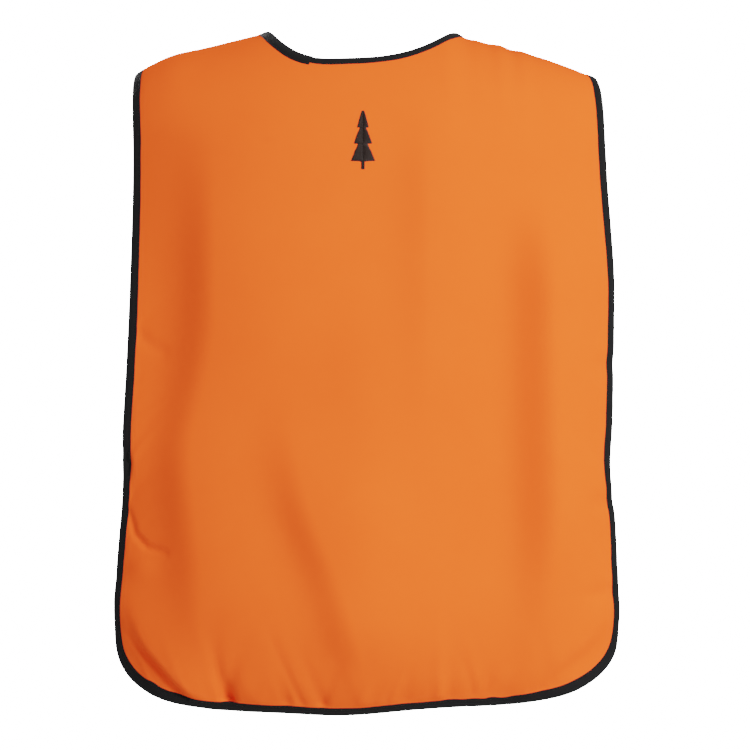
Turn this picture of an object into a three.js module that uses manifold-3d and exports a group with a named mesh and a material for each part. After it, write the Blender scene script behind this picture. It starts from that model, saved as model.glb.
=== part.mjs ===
// A blaze orange field vest: open sided, with a front zip, bound edges and an elastic strap at each side.
// Millimetres, +Z up. The wearer faces +Y, so the back panel is on the -Y side and the wearer's left is -X.
// The origin is the middle of the shoulder line, level with the two points where the neck meets the shoulders.
import * as THREE from "three";
import { mergeVertices } from "three/addons/utils/BufferGeometryUtils.js";
import Module from "manifold-3d";

const wasm = await Module();
wasm.setup();

// ---- Driving dimensions ----
const NECK_HALF = 108; // from the centre line to where the neck meets the shoulder
const SHOULDER_HALF = 247; // from the centre line to the shoulder tip
const SHOULDER_DROP = 43; // how far the tip lies below the neck point
const HEM_HALF = 267; // from the centre line to the side edge at the hem
const LENGTH = 716; // neck point to hem
const BACK = -1; // which side of the shoulder line a panel hangs on
const FRONT = 1;
const DEPTH = { [BACK]: 112, [FRONT]: 100 }; // how far each side stands off the shoulder line at its centre
const EDGE_DEPTH = 34; // and at its side edges near the hem
const FALL = { [BACK]: 150, [FRONT]: 84 }; // drop over which the cloth turns from level to hanging, at the centre
const EDGE_FALL = 55; // and at the shoulder tip
const NECK_DROP = { [BACK]: 27, [FRONT]: 92 };
const CORNER_ACROSS = 150; // the rounded hem corner, along the hem and up the side
const CORNER_UP = 76;
const CORNER_POWER = 2.2;
const WAIST = -474; // height of the side straps
const PINCH = 3; // the straps draw the side edges in by this much
const PINCH_ALONG = 452; // this far down the side edge
const PINCH_REACH = 40;

const CLOTH = 1.2; // thickness of the panel cloth
const TAPE = 0.7; // thickness of the binding tape
const GAP = 0.4; // clearance between neighbouring pieces
const BINDING_LIP = 8.4; // how far the folded binding reaches in over the cloth
const BINDING_PROUD = 1.5; // and out past its cut edge
const NECK_SLACK = 0.5; // extra room inside the binding round the neck, where the cloth turns most
const BINDING_OFF = CLOTH / 2 + GAP + TAPE; // from the cloth's middle to the outside of the binding

const ZIP_EDGE = 16; // from the centre line to the cloth's edge beside the zip
const ZIP_TOP = -101;
const ZIP_BOTTOM = -704;
const TOOTH_PITCH = 5;
const TOOTH_TIP = 7.5; // from the centre line to the tip of the teeth, with the zip undone
const TOOTH_ROOT = 10.1;
const TOOTH_THICK = 2.4;
const ZIP_TAPE_OUTER = 26;
const ZIP_TAPE_THICK = 0.8;
const ZIP_TAPE_Y = DEPTH[FRONT] - CLOTH / 2 - 2 * GAP - ZIP_TAPE_THICK / 2;

const SLIDER_X = 6.3;
const SLIDER_HALF = 5.3;
const SLIDER_LONG = 13;
const SLIDER_PLATE = 1.1;
const SLIDER_CHANNEL = TOOTH_THICK + 2 * GAP;
const BOX_TALL = 11;
const SLIDER_FOOT = ZIP_BOTTOM + BOX_TALL + 1; // lower end of the slider, parked on the retainer box

const STRAP_WIDE = 38;
const STRAP_THICK = 1.2;
const PATCH_THICK = 1.1;

const SHOULDER_BEND = SHOULDER_DROP / (SHOULDER_HALF ** 2 - NECK_HALF ** 2);

// ---- Materials ----
const cloth = (color, roughness) => new THREE.MeshStandardMaterial({ color, roughness, metalness: 0 });
const ORANGE_CLOTH = cloth(0xe78237, 0.75);
const BLACK_BINDING = cloth(0x1d1d1f, 0.85);
const BLACK_THREAD = cloth(0x1a100c, 0.6);
const ZIP_CLOTH = cloth(0x202022, 0.9);
const ELASTIC = cloth(0x19191b, 0.9);
const LABEL_CLOTH = cloth(0xd9d6cf, 0.7);
const ZIP_RESIN = new THREE.MeshStandardMaterial({ color: 0x18181a, roughness: 0.4, metalness: 0 });
const ZIP_METAL = new THREE.MeshStandardMaterial({ color: 0x2b2b2e, roughness: 0.35, metalness: 0.8 });

// ---- The shape that the cloth hangs in ----
const mix = (a, b, t) => a + (b - a) * t;
const quarterEllipse = (a, b) => (Math.PI / 4) * (3 * (a + b) - Math.sqrt((3 * a + b) * (a + 3 * b)));

// Height of the shoulder line, a shallow arch that falls away towards the tips.
const ridge = (x) => -SHOULDER_BEND * (x * x - NECK_HALF ** 2);
const standOff = (side, x) => mix(DEPTH[side], EDGE_DEPTH, Math.abs(x / HEM_HALF) ** 2.4);
const turnDrop = (side, x) => mix(FALL[side], EDGE_FALL, (x / HEM_HALF) ** 2);

// A point of the cloth: x across, and d along the cloth from the shoulder line. off lifts it outwards.
function onCloth(side, x, d, off = 0) {
  const at = (px, pd) => {
    const reach = standOff(side, px);
    const fall = turnDrop(side, px);
    const bend = quarterEllipse(reach, fall);
    const angle = (Math.PI / 2) * Math.min(1, pd / bend);
    const drop = fall * (1 - Math.cos(angle)) + Math.max(0, pd - bend);
    return new THREE.Vector3(px, side * reach * Math.sin(angle), ridge(px) - drop);
  };
  const point = at(x, d);
  if (off === 0) return point;
  const step = 0.5;
  const across = at(x + step, d).sub(at(x - step, d));
  const down = at(x, d + step).sub(at(x, d - step));
  const normal = across.cross(down).normalize();
  return point.addScaledVector(normal, side * off);
}

// The distance along the cloth at which it has dropped to height z.
function alongTo(side, x, z) {
  const fall = turnDrop(side, x);
  const bend = quarterEllipse(standOff(side, x), fall);
  const drop = Math.max(0, ridge(x) - z);
  return drop < fall ? (bend * Math.acos(1 - drop / fall)) / (Math.PI / 2) : bend + drop - fall;
}

// Half width of a panel, d down from the shoulder line: it flares to the hem and is drawn in at the straps.
function halfWidth(d) {
  const share = Math.min(1, Math.max(0, d / (LENGTH - CORNER_UP)));
  const pinch = PINCH * Math.exp(-(((d - PINCH_ALONG) / PINCH_REACH) ** 2));
  return mix(SHOULDER_HALF, HEM_HALF, share ** 1.2) - pinch;
}

const neckHeight = (side, x) => -NECK_DROP[side] * Math.sqrt(Math.max(0, 1 - (x / NECK_HALF) ** 2));

function hemHeight(x) {
  const start = HEM_HALF - CORNER_ACROSS;
  const t = Math.min(1, Math.max(0, (Math.abs(x) - start) / CORNER_ACROSS));
  return -LENGTH + CORNER_UP * (1 - (1 - t ** CORNER_POWER) ** (1 / CORNER_POWER));
}

// ---- Grids over a panel ----
const NECK_COLUMNS = 9; // along the top: columns under the neck, then under the shoulder
const SHOULDER_COLUMNS = 5;
const STRAIGHT_COLUMNS = 5; // along the hem: columns to the straight stretch, then to the corner
const CORNER_COLUMNS = NECK_COLUMNS + SHOULDER_COLUMNS - STRAIGHT_COLUMNS;
const BEND_ROWS = 10; // rows over the shoulder, then down the hanging cloth
const FALL_ROWS = 9;
const ROWS = BEND_ROWS + FALL_ROWS;
const LEAST_BEND = 60; // least length of cloth that the upper rows cover

// Each column's share of the way from the panel's inner edge to its side edge, at its top and at its foot.
function columnShares(inner) {
  const neck = (NECK_HALF - inner) / (SHOULDER_HALF - inner);
  const straight = (HEM_HALF - CORNER_ACROSS - inner) / (HEM_HALF - inner);
  const quarter = Math.PI / 2;
  const top = (i) => {
    if (i > NECK_COLUMNS) return mix(neck, 1, (i - NECK_COLUMNS) / SHOULDER_COLUMNS);
    return neck * Math.sin(quarter * (1 - (1 - i / NECK_COLUMNS) ** 2));
  };
  const foot = (i) => {
    if (i <= STRAIGHT_COLUMNS) return (straight * i) / STRAIGHT_COLUMNS;
    const turn = Math.sin((quarter * (i - STRAIGHT_COLUMNS)) / CORNER_COLUMNS);
    return mix(straight, 1, turn ** (2 / CORNER_POWER));
  };
  const shares = [];
  for (let i = 0; i <= NECK_COLUMNS + SHOULDER_COLUMNS; i++) shares.push([top(i), foot(i)]);
  return shares;
}

// One column's cut points [x, d] from top to hem. sign is -1 or 1 for half a panel on that side.
function column(side, sign, inner, [topShare, footShare]) {
  const topX = mix(inner, SHOULDER_HALF, topShare);
  const neck = topX < NECK_HALF - 0.01 ? alongTo(side, topX, neckHeight(side, topX)) : 0;
  const top = Math.max(neck, GAP);
  const hemX = mix(inner, HEM_HALF, footShare);
  const hem = alongTo(side, hemX, hemHeight(hemX));
  const bend = Math.max(top + LEAST_BEND, quarterEllipse(standOff(side, topX), turnDrop(side, topX)));
  const points = [];
  for (let r = 0; r <= ROWS; r++) {
    const d = r < BEND_ROWS ? mix(top, bend, r / BEND_ROWS) : mix(bend, hem, (r - BEND_ROWS) / FALL_ROWS);
    const share = mix(topShare, footShare, (d - top) / (hem - top));
    points.push([sign * mix(inner, halfWidth(d), share), d]);
  }
  return points;
}

function panelColumns(side, signs, inner) {
  const half = (sign) => columnShares(inner).map((share) => column(side, sign, inner, share));
  if (signs.length === 1) return half(signs[0]);
  return [...half(-1).reverse(), ...half(1).slice(1)];
}

// ---- Solids from rings and grids ----
// Collects the triangles of a mesh over a list of points. A quad is split along its shorter diagonal.
function triangles(points) {
  const index = [];
  const quad = (a, b, c, d) => {
    if (points[a].distanceTo(points[c]) <= points[b].distanceTo(points[d])) index.push(a, b, c, a, c, d);
    else index.push(a, b, d, b, c, d);
  };
  return { index, quad };
}

// Joins rings of the same number of points in turn, and leaves the two ends open.
function tubeWalls(rings) {
  const size = rings[0].length;
  const points = rings.flat();
  const { index, quad } = triangles(points);
  for (let r = 0; r + 1 < rings.length; r++) {
    for (let k = 0; k < size; k++) {
      const next = (k + 1) % size;
      quad(r * size + k, r * size + next, (r + 1) * size + next, (r + 1) * size + k);
    }
  }
  return { points, index, quad, size };
}

// A tube of rings with a flat cap at each end.
function sweep(rings) {
  const { points, index, size } = tubeWalls(rings);
  const last = (rings.length - 1) * size;
  for (const [a, b, c] of THREE.ShapeUtils.triangulateShape(planeOutline(rings[0]), [])) {
    index.push(c, b, a);
    index.push(last + a, last + b, last + c);
  }
  return facingOut(points, index);
}

// A ring of nearly flat points as a 2D outline, for triangulation.
function planeOutline(ring) {
  const normal = new THREE.Vector3();
  ring.forEach((p, i) => normal.add(p.clone().cross(ring[(i + 1) % ring.length])));
  normal.normalize();
  const u = ring[1].clone().sub(ring[0]).normalize();
  const v = normal.clone().cross(u);
  return ring.map((p) => new THREE.Vector2(p.dot(u), p.dot(v)));
}

// The mesh with its triangles turned so that they face out, which makes its volume positive.
function facingOut(points, index) {
  let volume = 0;
  for (let i = 0; i < index.length; i += 3) {
    const [a, b, c] = [0, 1, 2].map((k) => points[index[i + k]]);
    volume += a.dot(b.clone().cross(c));
  }
  const geometry = new THREE.BufferGeometry();
  geometry.setAttribute("position", new THREE.Float32BufferAttribute(points.flatMap((p) => p.toArray()), 3));
  return geometry.setIndex(volume < 0 ? index.reverse() : index);
}

// A sheet of cloth between two offsets from a grid of cut points: each column is one ring down and back up.
function sheet(side, columns, low, high) {
  const rings = columns.map((cuts) => {
    const outside = cuts.map(([x, d]) => onCloth(side, x, d, high));
    const inside = cuts.map(([x, d]) => onCloth(side, x, d, low));
    return [...outside, ...inside.reverse()];
  });
  const { points, index, quad, size } = tubeWalls(rings);
  const last = (rings.length - 1) * size;
  for (let k = 0; k < ROWS; k++) {
    const across = size - 1 - k;
    quad(across, across - 1, k + 1, k);
    quad(last + k, last + k + 1, last + across - 1, last + across);
  }
  return facingOut(points, index);
}

// Binding tape folded over a cut edge. edge is a list of cut points [x, d]; inwards says on which side
// of its direction the cloth lies. The section is a U whose slot holds the cloth, with some slack.
function binding(side, edge, inwards, slack = 0) {
  const slot = CLOTH / 2 + GAP + slack;
  const outside = slot + TAPE;
  const rings = edge.map(([x, d], i) => {
    const [ax, ad] = edge[Math.max(0, i - 1)];
    const [bx, bd] = edge[Math.min(edge.length - 1, i + 1)];
    const long = Math.hypot(bx - ax, bd - ad);
    const nx = (-inwards * (bd - ad)) / long;
    const nd = (inwards * (bx - ax)) / long;
    const at = (distance, off) => onCloth(side, x + nx * distance, d + nd * distance, off);
    return [
      at(BINDING_LIP, slot),
      at(BINDING_LIP, outside),
      at(-BINDING_PROUD, outside),
      at(-BINDING_PROUD, -outside),
      at(BINDING_LIP, -outside),
      at(BINDING_LIP, -slot),
      at(-BINDING_PROUD + TAPE, -slot),
      at(-BINDING_PROUD + TAPE, slot),
    ];
  });
  return sweep(rings);
}

// A block by its corners, and a flat outline [x, z] given thickness along Y from y0 to y1.
function block(x0, x1, y0, y1, z0, z1) {
  const geometry = new THREE.BoxGeometry(Math.abs(x1 - x0), y1 - y0, z1 - z0);
  return geometry.translate((x0 + x1) / 2, (y0 + y1) / 2, (z0 + z1) / 2);
}

function plate(outline, y0, y1) {
  const shape = new THREE.Shape(outline.map(([x, z]) => new THREE.Vector2(x, z)));
  const geometry = new THREE.ExtrudeGeometry(shape, { depth: y1 - y0, bevelEnabled: false });
  return geometry.rotateX(Math.PI / 2).translate(0, y1, 0);
}

// A band of tape standing on edge: points [x, y] down its middle, from height z0 to z1.
function standingBand(middle, thick, z0, z1) {
  const side = (sign) =>
    middle.map(([x, y], i) => {
      const [ax, ay] = middle[Math.max(0, i - 1)];
      const [bx, by] = middle[Math.min(middle.length - 1, i + 1)];
      const long = Math.hypot(bx - ax, by - ay);
      const half = (sign * thick) / 2;
      return new THREE.Vector2(x - (half * (by - ay)) / long, y + (half * (bx - ax)) / long);
    });
  const shape = new THREE.Shape([...side(1), ...side(-1).reverse()]);
  return new THREE.ExtrudeGeometry(shape, { depth: z1 - z0, bevelEnabled: false }).translate(0, 0, z0);
}

// ---- Joining and cutting ----
function solid(geometry) {
  const bare = geometry.index ? geometry.toNonIndexed() : geometry.clone();
  bare.deleteAttribute("normal");
  bare.deleteAttribute("uv");
  const merged = mergeVertices(bare, 1e-3);
  const vertProperties = merged.attributes.position.array;
  return new wasm.Manifold(new wasm.Mesh({ numProp: 3, vertProperties, triVerts: new Uint32Array(merged.index.array) }));
}

function geometryOf(body) {
  const mesh = body.getMesh();
  const geometry = new THREE.BufferGeometry();
  geometry.setAttribute("position", new THREE.Float32BufferAttribute(Array.from(mesh.vertProperties), 3));
  return geometry.setIndex(Array.from(mesh.triVerts));
}

const join = (...parts) => geometryOf(parts.map(solid).reduce((a, b) => a.add(b)));
const cut = (body, ...tools) => geometryOf(tools.map(solid).reduce((a, b) => a.subtract(b), solid(body)));

// ---- The model ----
const vest = new THREE.Group();
function add(name, geometry, material) {
  const mesh = new THREE.Mesh(geometry, material);
  mesh.name = name;
  vest.add(mesh);
}

// Both halves of the vest's sides: "left" is the wearer's left.
const SIDES = [
  ["left", -1],
  ["right", 1],
];

function addBack() {
  const columns = panelColumns(BACK, [-1, 1], 0);
  add("back_panel", sheet(BACK, columns, -CLOTH / 2, CLOTH / 2), ORANGE_CLOTH);

  const last = columns.length - 1;
  const edge = [...columns[0], ...columns.slice(1, last).map((points) => points[ROWS]), ...[...columns[last]].reverse()];
  add("back_edge_binding", binding(BACK, edge, -1), BLACK_BINDING);

  const neckColumns = columns.slice(SHOULDER_COLUMNS, last + 1 - SHOULDER_COLUMNS);
  add("back_neck_binding", binding(BACK, neckColumns.map((points) => points[0]), 1, NECK_SLACK), BLACK_BINDING);
}

function addFront(name, sign) {
  const columns = panelColumns(FRONT, [sign], ZIP_EDGE);
  add(`${name}_front_panel`, sheet(FRONT, columns, -CLOTH / 2, CLOTH / 2), ORANGE_CLOTH);

  const last = columns.length - 1;
  const edge = [...columns[last], ...columns.slice(0, last).reverse().map((points) => points[ROWS])];
  add(`${name}_front_edge_binding`, binding(FRONT, edge, sign), BLACK_BINDING);

  const neck = columns.slice(0, NECK_COLUMNS + 1).map((points) => points[0]);
  add(`${name}_front_neck_binding`, binding(FRONT, neck, sign, NECK_SLACK), BLACK_BINDING);
}

// A stay tape inside each shoulder seam, which stops it stretching.
function addShoulderTape(name, sign) {
  const HALF_WIDE = 5;
  const STATIONS = 10;
  const FROM = NECK_HALF + 14;
  const TO = SHOULDER_HALF - 14;
  const rings = [];
  for (let i = 0; i <= STATIONS; i++) {
    const x = sign * mix(FROM, TO, i / STATIONS);
    const at = (side, d, off) => onCloth(side, x, d, off);
    const high = -CLOTH / 2 - 2 * GAP;
    const low = high - 0.8;
    rings.push([
      at(BACK, HALF_WIDE, high),
      at(BACK, 0, high),
      at(FRONT, HALF_WIDE, high),
      at(FRONT, HALF_WIDE, low),
      at(BACK, 0, low),
      at(BACK, HALF_WIDE, low),
    ]);
  }
  add(`${name}_shoulder_tape`, sweep(rings), BLACK_BINDING);
}

// Zip tape and a comb of teeth along its inner edge.
function addZipHalf(name, sign) {
  const y0 = ZIP_TAPE_Y - ZIP_TAPE_THICK / 2;
  const y1 = ZIP_TAPE_Y + ZIP_TAPE_THICK / 2;
  const tape = block(sign * (TOOTH_ROOT + GAP), sign * ZIP_TAPE_OUTER, y0, y1, ZIP_BOTTOM, ZIP_TOP);
  add(`${name}_zip_tape`, tape, ZIP_CLOTH);

  const teethTop = ZIP_TOP - 8;
  const teethBottom = ZIP_BOTTOM + (sign < 0 ? 20 : 14);
  const count = Math.floor((teethTop - teethBottom) / TOOTH_PITCH);
  const core = mix(TOOTH_TIP, TOOTH_ROOT, 0.6);
  const outline = [[sign * TOOTH_ROOT, teethTop]];
  for (let i = 0; i < count; i++) {
    const z = teethTop - i * TOOTH_PITCH;
    outline.push([sign * core, z], [sign * TOOTH_TIP, z - 0.6], [sign * TOOTH_TIP, z - 2.2], [sign * core, z - 2.8]);
  }
  outline.push([sign * TOOTH_ROOT, teethTop - count * TOOTH_PITCH]);
  const halfThick = TOOTH_THICK / 2;
  add(`${name}_zip_teeth`, plate(outline, ZIP_TAPE_Y - halfThick, ZIP_TAPE_Y + halfThick), ZIP_RESIN);

  const stop = block(
    sign * TOOTH_TIP, sign * TOOTH_ROOT, ZIP_TAPE_Y - halfThick - 0.3, ZIP_TAPE_Y + halfThick + 0.3,
    teethTop + GAP, teethTop + 4,
  );
  add(`${name}_top_stop`, stop, ZIP_METAL);
}

// The pin on the left tape and the box on the right tape that join the zip's lower ends.
function addZipEnds() {
  const half = 1.2;
  const pin = block(-TOOTH_ROOT, -TOOTH_TIP, ZIP_TAPE_Y - half, ZIP_TAPE_Y + half, ZIP_BOTTOM, ZIP_BOTTOM + 19);
  add("insertion_pin", pin, ZIP_RESIN);

  const wall = 1.1;
  const boxY = half + GAP + wall;
  const left = SLIDER_X - SLIDER_HALF + 0.6;
  const shell = block(left, TOOTH_ROOT, ZIP_TAPE_Y - boxY, ZIP_TAPE_Y + boxY, ZIP_BOTTOM, ZIP_BOTTOM + BOX_TALL);
  const pinHole = block(
    left + wall, left + wall + TOOTH_ROOT - TOOTH_TIP + GAP, ZIP_TAPE_Y - half - GAP, ZIP_TAPE_Y + half + GAP,
    ZIP_BOTTOM + 1.5, ZIP_BOTTOM + BOX_TALL + 1,
  );
  add("retainer_box", cut(shell, pinHole), ZIP_RESIN);
}

// Slider: two plates joined by a post, side walls that leave a slot for the tape, and a bridge for the pull.
const BRIDGE_HALF = 1.1;
const BRIDGE_INSIDE = 2.7;
const BRIDGE_THICK = 1.2;
const BRIDGE_Z = SLIDER_FOOT + SLIDER_LONG * 0.5;
const SLIDER_FACE = ZIP_TAPE_Y + SLIDER_CHANNEL / 2 + SLIDER_PLATE;

function addSlider() {
  const foot = SLIDER_FOOT;
  const head = foot + SLIDER_LONG;
  const inner = SLIDER_CHANNEL / 2;
  const outer = inner + SLIDER_PLATE;
  const outline = [
    [SLIDER_X - SLIDER_HALF + 0.6, foot],
    [SLIDER_X + SLIDER_HALF - 0.6, foot],
    [SLIDER_X + SLIDER_HALF, foot + 5],
    [SLIDER_X + SLIDER_HALF, head - 2],
    [SLIDER_X + SLIDER_HALF - 2, head],
    [SLIDER_X - SLIDER_HALF + 2, head],
    [SLIDER_X - SLIDER_HALF, head - 2],
    [SLIDER_X - SLIDER_HALF, foot + 5],
  ];
  const body = plate(outline, ZIP_TAPE_Y - outer, ZIP_TAPE_Y + outer);
  const wall = 0.7;
  const slot = ZIP_TAPE_THICK / 2 + GAP;
  const channel = block(
    SLIDER_X - SLIDER_HALF + wall, SLIDER_X + SLIDER_HALF - wall, ZIP_TAPE_Y - inner, ZIP_TAPE_Y + inner,
    foot - 1, head + 1,
  );
  const tapeSlot = block(SLIDER_X - 20, SLIDER_X + 20, ZIP_TAPE_Y - slot, ZIP_TAPE_Y + slot, foot - 1, head + 1);
  const post = block(
    SLIDER_X - 0.7, SLIDER_X + 0.7, ZIP_TAPE_Y - inner - 0.3, ZIP_TAPE_Y + inner + 0.3, head - 5, head - 1,
  );
  const bridge = cut(
    block(
      SLIDER_X - BRIDGE_HALF, SLIDER_X + BRIDGE_HALF,
      SLIDER_FACE - 0.3, SLIDER_FACE + BRIDGE_INSIDE + BRIDGE_THICK, BRIDGE_Z - 4, BRIDGE_Z + 4,
    ),
    block(SLIDER_X - 9, SLIDER_X + 9, SLIDER_FACE, SLIDER_FACE + BRIDGE_INSIDE, BRIDGE_Z - 2.8, BRIDGE_Z + 2.8),
  );
  add("zip_slider", join(cut(body, channel, tapeSlot), post, bridge), ZIP_METAL);
}

// Pull tab: a crossbar under the bridge, two limbs that pass it, and a flat grip, hanging down.
const PULL_AXIS_Y = SLIDER_FACE + BRIDGE_INSIDE / 2;
function addPullTab() {
  const HALF_THICK = 0.7;
  const EYE_HALF = BRIDGE_HALF + GAP;
  const EYE_LONG = 5;
  const outline = [
    [-EYE_HALF - 1.4, HALF_THICK],
    [EYE_HALF + 1.4, HALF_THICK],
    [4.4, -EYE_LONG - 3],
    [4.4, -28],
    [3, -30],
    [-3, -30],
    [-4.4, -28],
    [-4.4, -EYE_LONG - 3],
  ].map(([x, z]) => [SLIDER_X + x, BRIDGE_Z + z]);
  const tab = plate(outline, PULL_AXIS_Y - HALF_THICK, PULL_AXIS_Y + HALF_THICK);
  const eye = block(
    SLIDER_X - EYE_HALF, SLIDER_X + EYE_HALF, PULL_AXIS_Y - 3, PULL_AXIS_Y + 3,
    BRIDGE_Z - EYE_LONG, BRIDGE_Z - HALF_THICK,
  );
  add("zip_pull_tab", cut(tab, eye), ZIP_METAL);
}

// Side strap: elastic caught under the back's binding, curving round to lie inside the front panel,
// where its hook patch grips the loop patch sewn to the panel.
const LOOP_OFF = -(CLOTH / 2 + GAP + PATCH_THICK / 2);
const HOOK_OFF = LOOP_OFF - PATCH_THICK - GAP;
const STRAP_OFF = HOOK_OFF - PATCH_THICK / 2 - GAP - STRAP_THICK / 2;
const EDGE_AT_WAIST = halfWidth(PINCH_ALONG);

// Points [x, y] along the inside of a panel at the waist, from one distance off the centre line to another.
function insideLine(side, sign, from, to, off, steps) {
  const points = [];
  for (let i = 0; i <= steps; i++) {
    const x = sign * mix(from, to, i / steps);
    const p = onCloth(side, x, alongTo(side, x, WAIST), off);
    points.push([p.x, p.y]);
  }
  return points;
}

function addStrap(name, sign) {
  const backOff = -BINDING_OFF - GAP - STRAP_THICK / 2;
  const start = insideLine(BACK, sign, EDGE_AT_WAIST - BINDING_LIP, EDGE_AT_WAIST - 3, backOff, 1);
  const end = insideLine(FRONT, sign, EDGE_AT_WAIST - BINDING_LIP - 4, EDGE_AT_WAIST - 66, STRAP_OFF, 5);
  const crossing = [-24, 0, 22].map((y) => [sign * (EDGE_AT_WAIST - 8), y]);
  const round = new THREE.CatmullRomCurve3(
    [...start, ...crossing, ...end.slice(0, 2)].map(([x, y]) => new THREE.Vector3(x, y, 0)),
  );
  const middle = [...round.getPoints(14).map((p) => [p.x, p.y]), ...end.slice(2)];
  const z0 = WAIST - STRAP_WIDE / 2;
  const z1 = WAIST + STRAP_WIDE / 2;
  add(`${name}_side_strap`, standingBand(middle, STRAP_THICK, z0, z1), ELASTIC);

  const hook = insideLine(FRONT, sign, EDGE_AT_WAIST - 20, EDGE_AT_WAIST - 64, HOOK_OFF, 4);
  add(`${name}_hook_patch`, standingBand(hook, PATCH_THICK, z0 + 2, z1 - 2), ELASTIC);

  const loop = insideLine(FRONT, sign, EDGE_AT_WAIST - 16, EDGE_AT_WAIST - 96, LOOP_OFF, 6);
  add(`${name}_loop_patch`, standingBand(loop, PATCH_THICK, z0 - 1, z1 + 1), ELASTIC);
}

// A hang loop and a small woven label hang inside the back of the neck. The label can lift through the loop.
const LABEL_THICK = 0.8;
const NECK_INSIDE = onCloth(BACK, 0, alongTo(BACK, 0, -NECK_DROP[BACK]) + BINDING_LIP, -BINDING_OFF);
const LABEL_Y = NECK_INSIDE.y + 2;
const LABEL_TOP = NECK_INSIDE.z;
const LABEL_HALF = 14;
const LABEL_TALL = 21;
const LOOP_Y = LABEL_Y + 2.6;
const LOOP_OUTER = 30;
const LOOP_TAPE = 7;
const LOOP_STRAIGHT = 8;

function addNeckPieces() {
  const half = LABEL_THICK / 2;
  const label = block(-LABEL_HALF, LABEL_HALF, LABEL_Y - half, LABEL_Y + half, LABEL_TOP - LABEL_TALL, LABEL_TOP);
  add("neck_label", label, LABEL_CLOTH);

  const STEPS = 12;
  const arc = (radius, from, to) => {
    const points = [];
    for (let i = 0; i <= STEPS; i++) {
      const angle = mix(from, to, i / STEPS);
      points.push([radius * Math.cos(angle), LABEL_TOP - LOOP_STRAIGHT + radius * Math.sin(angle)]);
    }
    return points;
  };
  const inner = LOOP_OUTER - LOOP_TAPE;
  const outline = [
    [LOOP_OUTER, LABEL_TOP],
    [inner, LABEL_TOP],
    ...arc(inner, 0, -Math.PI),
    [-inner, LABEL_TOP],
    [-LOOP_OUTER, LABEL_TOP],
    ...arc(LOOP_OUTER, -Math.PI, 0),
  ];
  add("hang_loop", plate(outline, LOOP_Y - half, LOOP_Y + half), BLACK_BINDING);
}

const CARE_TOP = -560;
function addCareLabel() {
  const edge = halfWidth(-CARE_TOP) - BINDING_LIP + 2;
  const off = -BINDING_OFF - GAP - LABEL_THICK / 2;
  const middle = [0, 15, 30, 45].map((inwards) => {
    const x = -(edge - inwards);
    const p = onCloth(BACK, x, alongTo(BACK, x, CARE_TOP), off);
    return [p.x, p.y];
  });
  add("care_label", standingBand(middle, LABEL_THICK, CARE_TOP - 32, CARE_TOP), LABEL_CLOTH);
}

// Embroidered emblem on the back: a plain conifer of three tiers, raised a little and following the cloth.
function addEmblem() {
  const TOP = -84;
  const HIGH = 0.9;
  const start = alongTo(BACK, 0, TOP);
  const halfWidths = [
    [1.6, 0], [4.4, 8.5], [7, 17], [4, 17.4], [7.4, 25], [10.5, 33], [6, 33.4], [10, 42], [14, 51], [2, 51.4],
    [2, 60],
  ];
  const rings = halfWidths.map(([half, down]) => {
    const at = (x, off) => onCloth(BACK, x, start + down, CLOTH / 2 + GAP + off);
    return [at(-half, 0), at(half, 0), at(half, HIGH), at(-half, HIGH)];
  });
  add("back_emblem", sweep(rings), BLACK_THREAD);
}

addBack();
for (const [name, sign] of SIDES) {
  addFront(name, sign);
  addShoulderTape(name, sign);
  addZipHalf(name, sign);
  addStrap(name, sign);
}
addZipEnds();
addSlider();
addPullTab();
addNeckPieces();
addCareLabel();
addEmblem();

export default vest;
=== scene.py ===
"""A blaze orange field vest, seen from behind: cloth, bindings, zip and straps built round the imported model.

Metres, +Z up. The wearer faces +Y, so the back panel is on the -Y side and the wearer's left is -X.
"""

import math
import random

import bmesh
import bpy
import numpy as np
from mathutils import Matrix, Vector


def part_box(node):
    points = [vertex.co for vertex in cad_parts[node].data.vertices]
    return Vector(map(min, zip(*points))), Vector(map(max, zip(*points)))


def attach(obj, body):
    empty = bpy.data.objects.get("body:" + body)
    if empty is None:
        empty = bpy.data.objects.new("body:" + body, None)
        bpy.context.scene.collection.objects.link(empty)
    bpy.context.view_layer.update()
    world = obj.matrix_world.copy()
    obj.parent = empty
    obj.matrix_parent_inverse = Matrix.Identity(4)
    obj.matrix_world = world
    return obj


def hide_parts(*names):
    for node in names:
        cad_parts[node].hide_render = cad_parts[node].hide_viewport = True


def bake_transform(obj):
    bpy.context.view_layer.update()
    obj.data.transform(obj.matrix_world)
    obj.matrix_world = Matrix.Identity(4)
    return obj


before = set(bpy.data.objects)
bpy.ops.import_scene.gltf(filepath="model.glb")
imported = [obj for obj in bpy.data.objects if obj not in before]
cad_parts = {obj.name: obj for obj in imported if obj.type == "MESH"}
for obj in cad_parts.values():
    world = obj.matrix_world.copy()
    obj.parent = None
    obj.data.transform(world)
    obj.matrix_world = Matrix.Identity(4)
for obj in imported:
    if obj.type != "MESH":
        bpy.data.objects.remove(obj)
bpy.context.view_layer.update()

# ---- Driving dimensions, from the frame where it gives them ----
MM = 0.001
BACK, FRONT = -1, 1
LEFT, RIGHT = -1, 1
NAMES = {LEFT: "left", RIGHT: "right"}
CLOTH = 0.7 * MM  # its thickness

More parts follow.
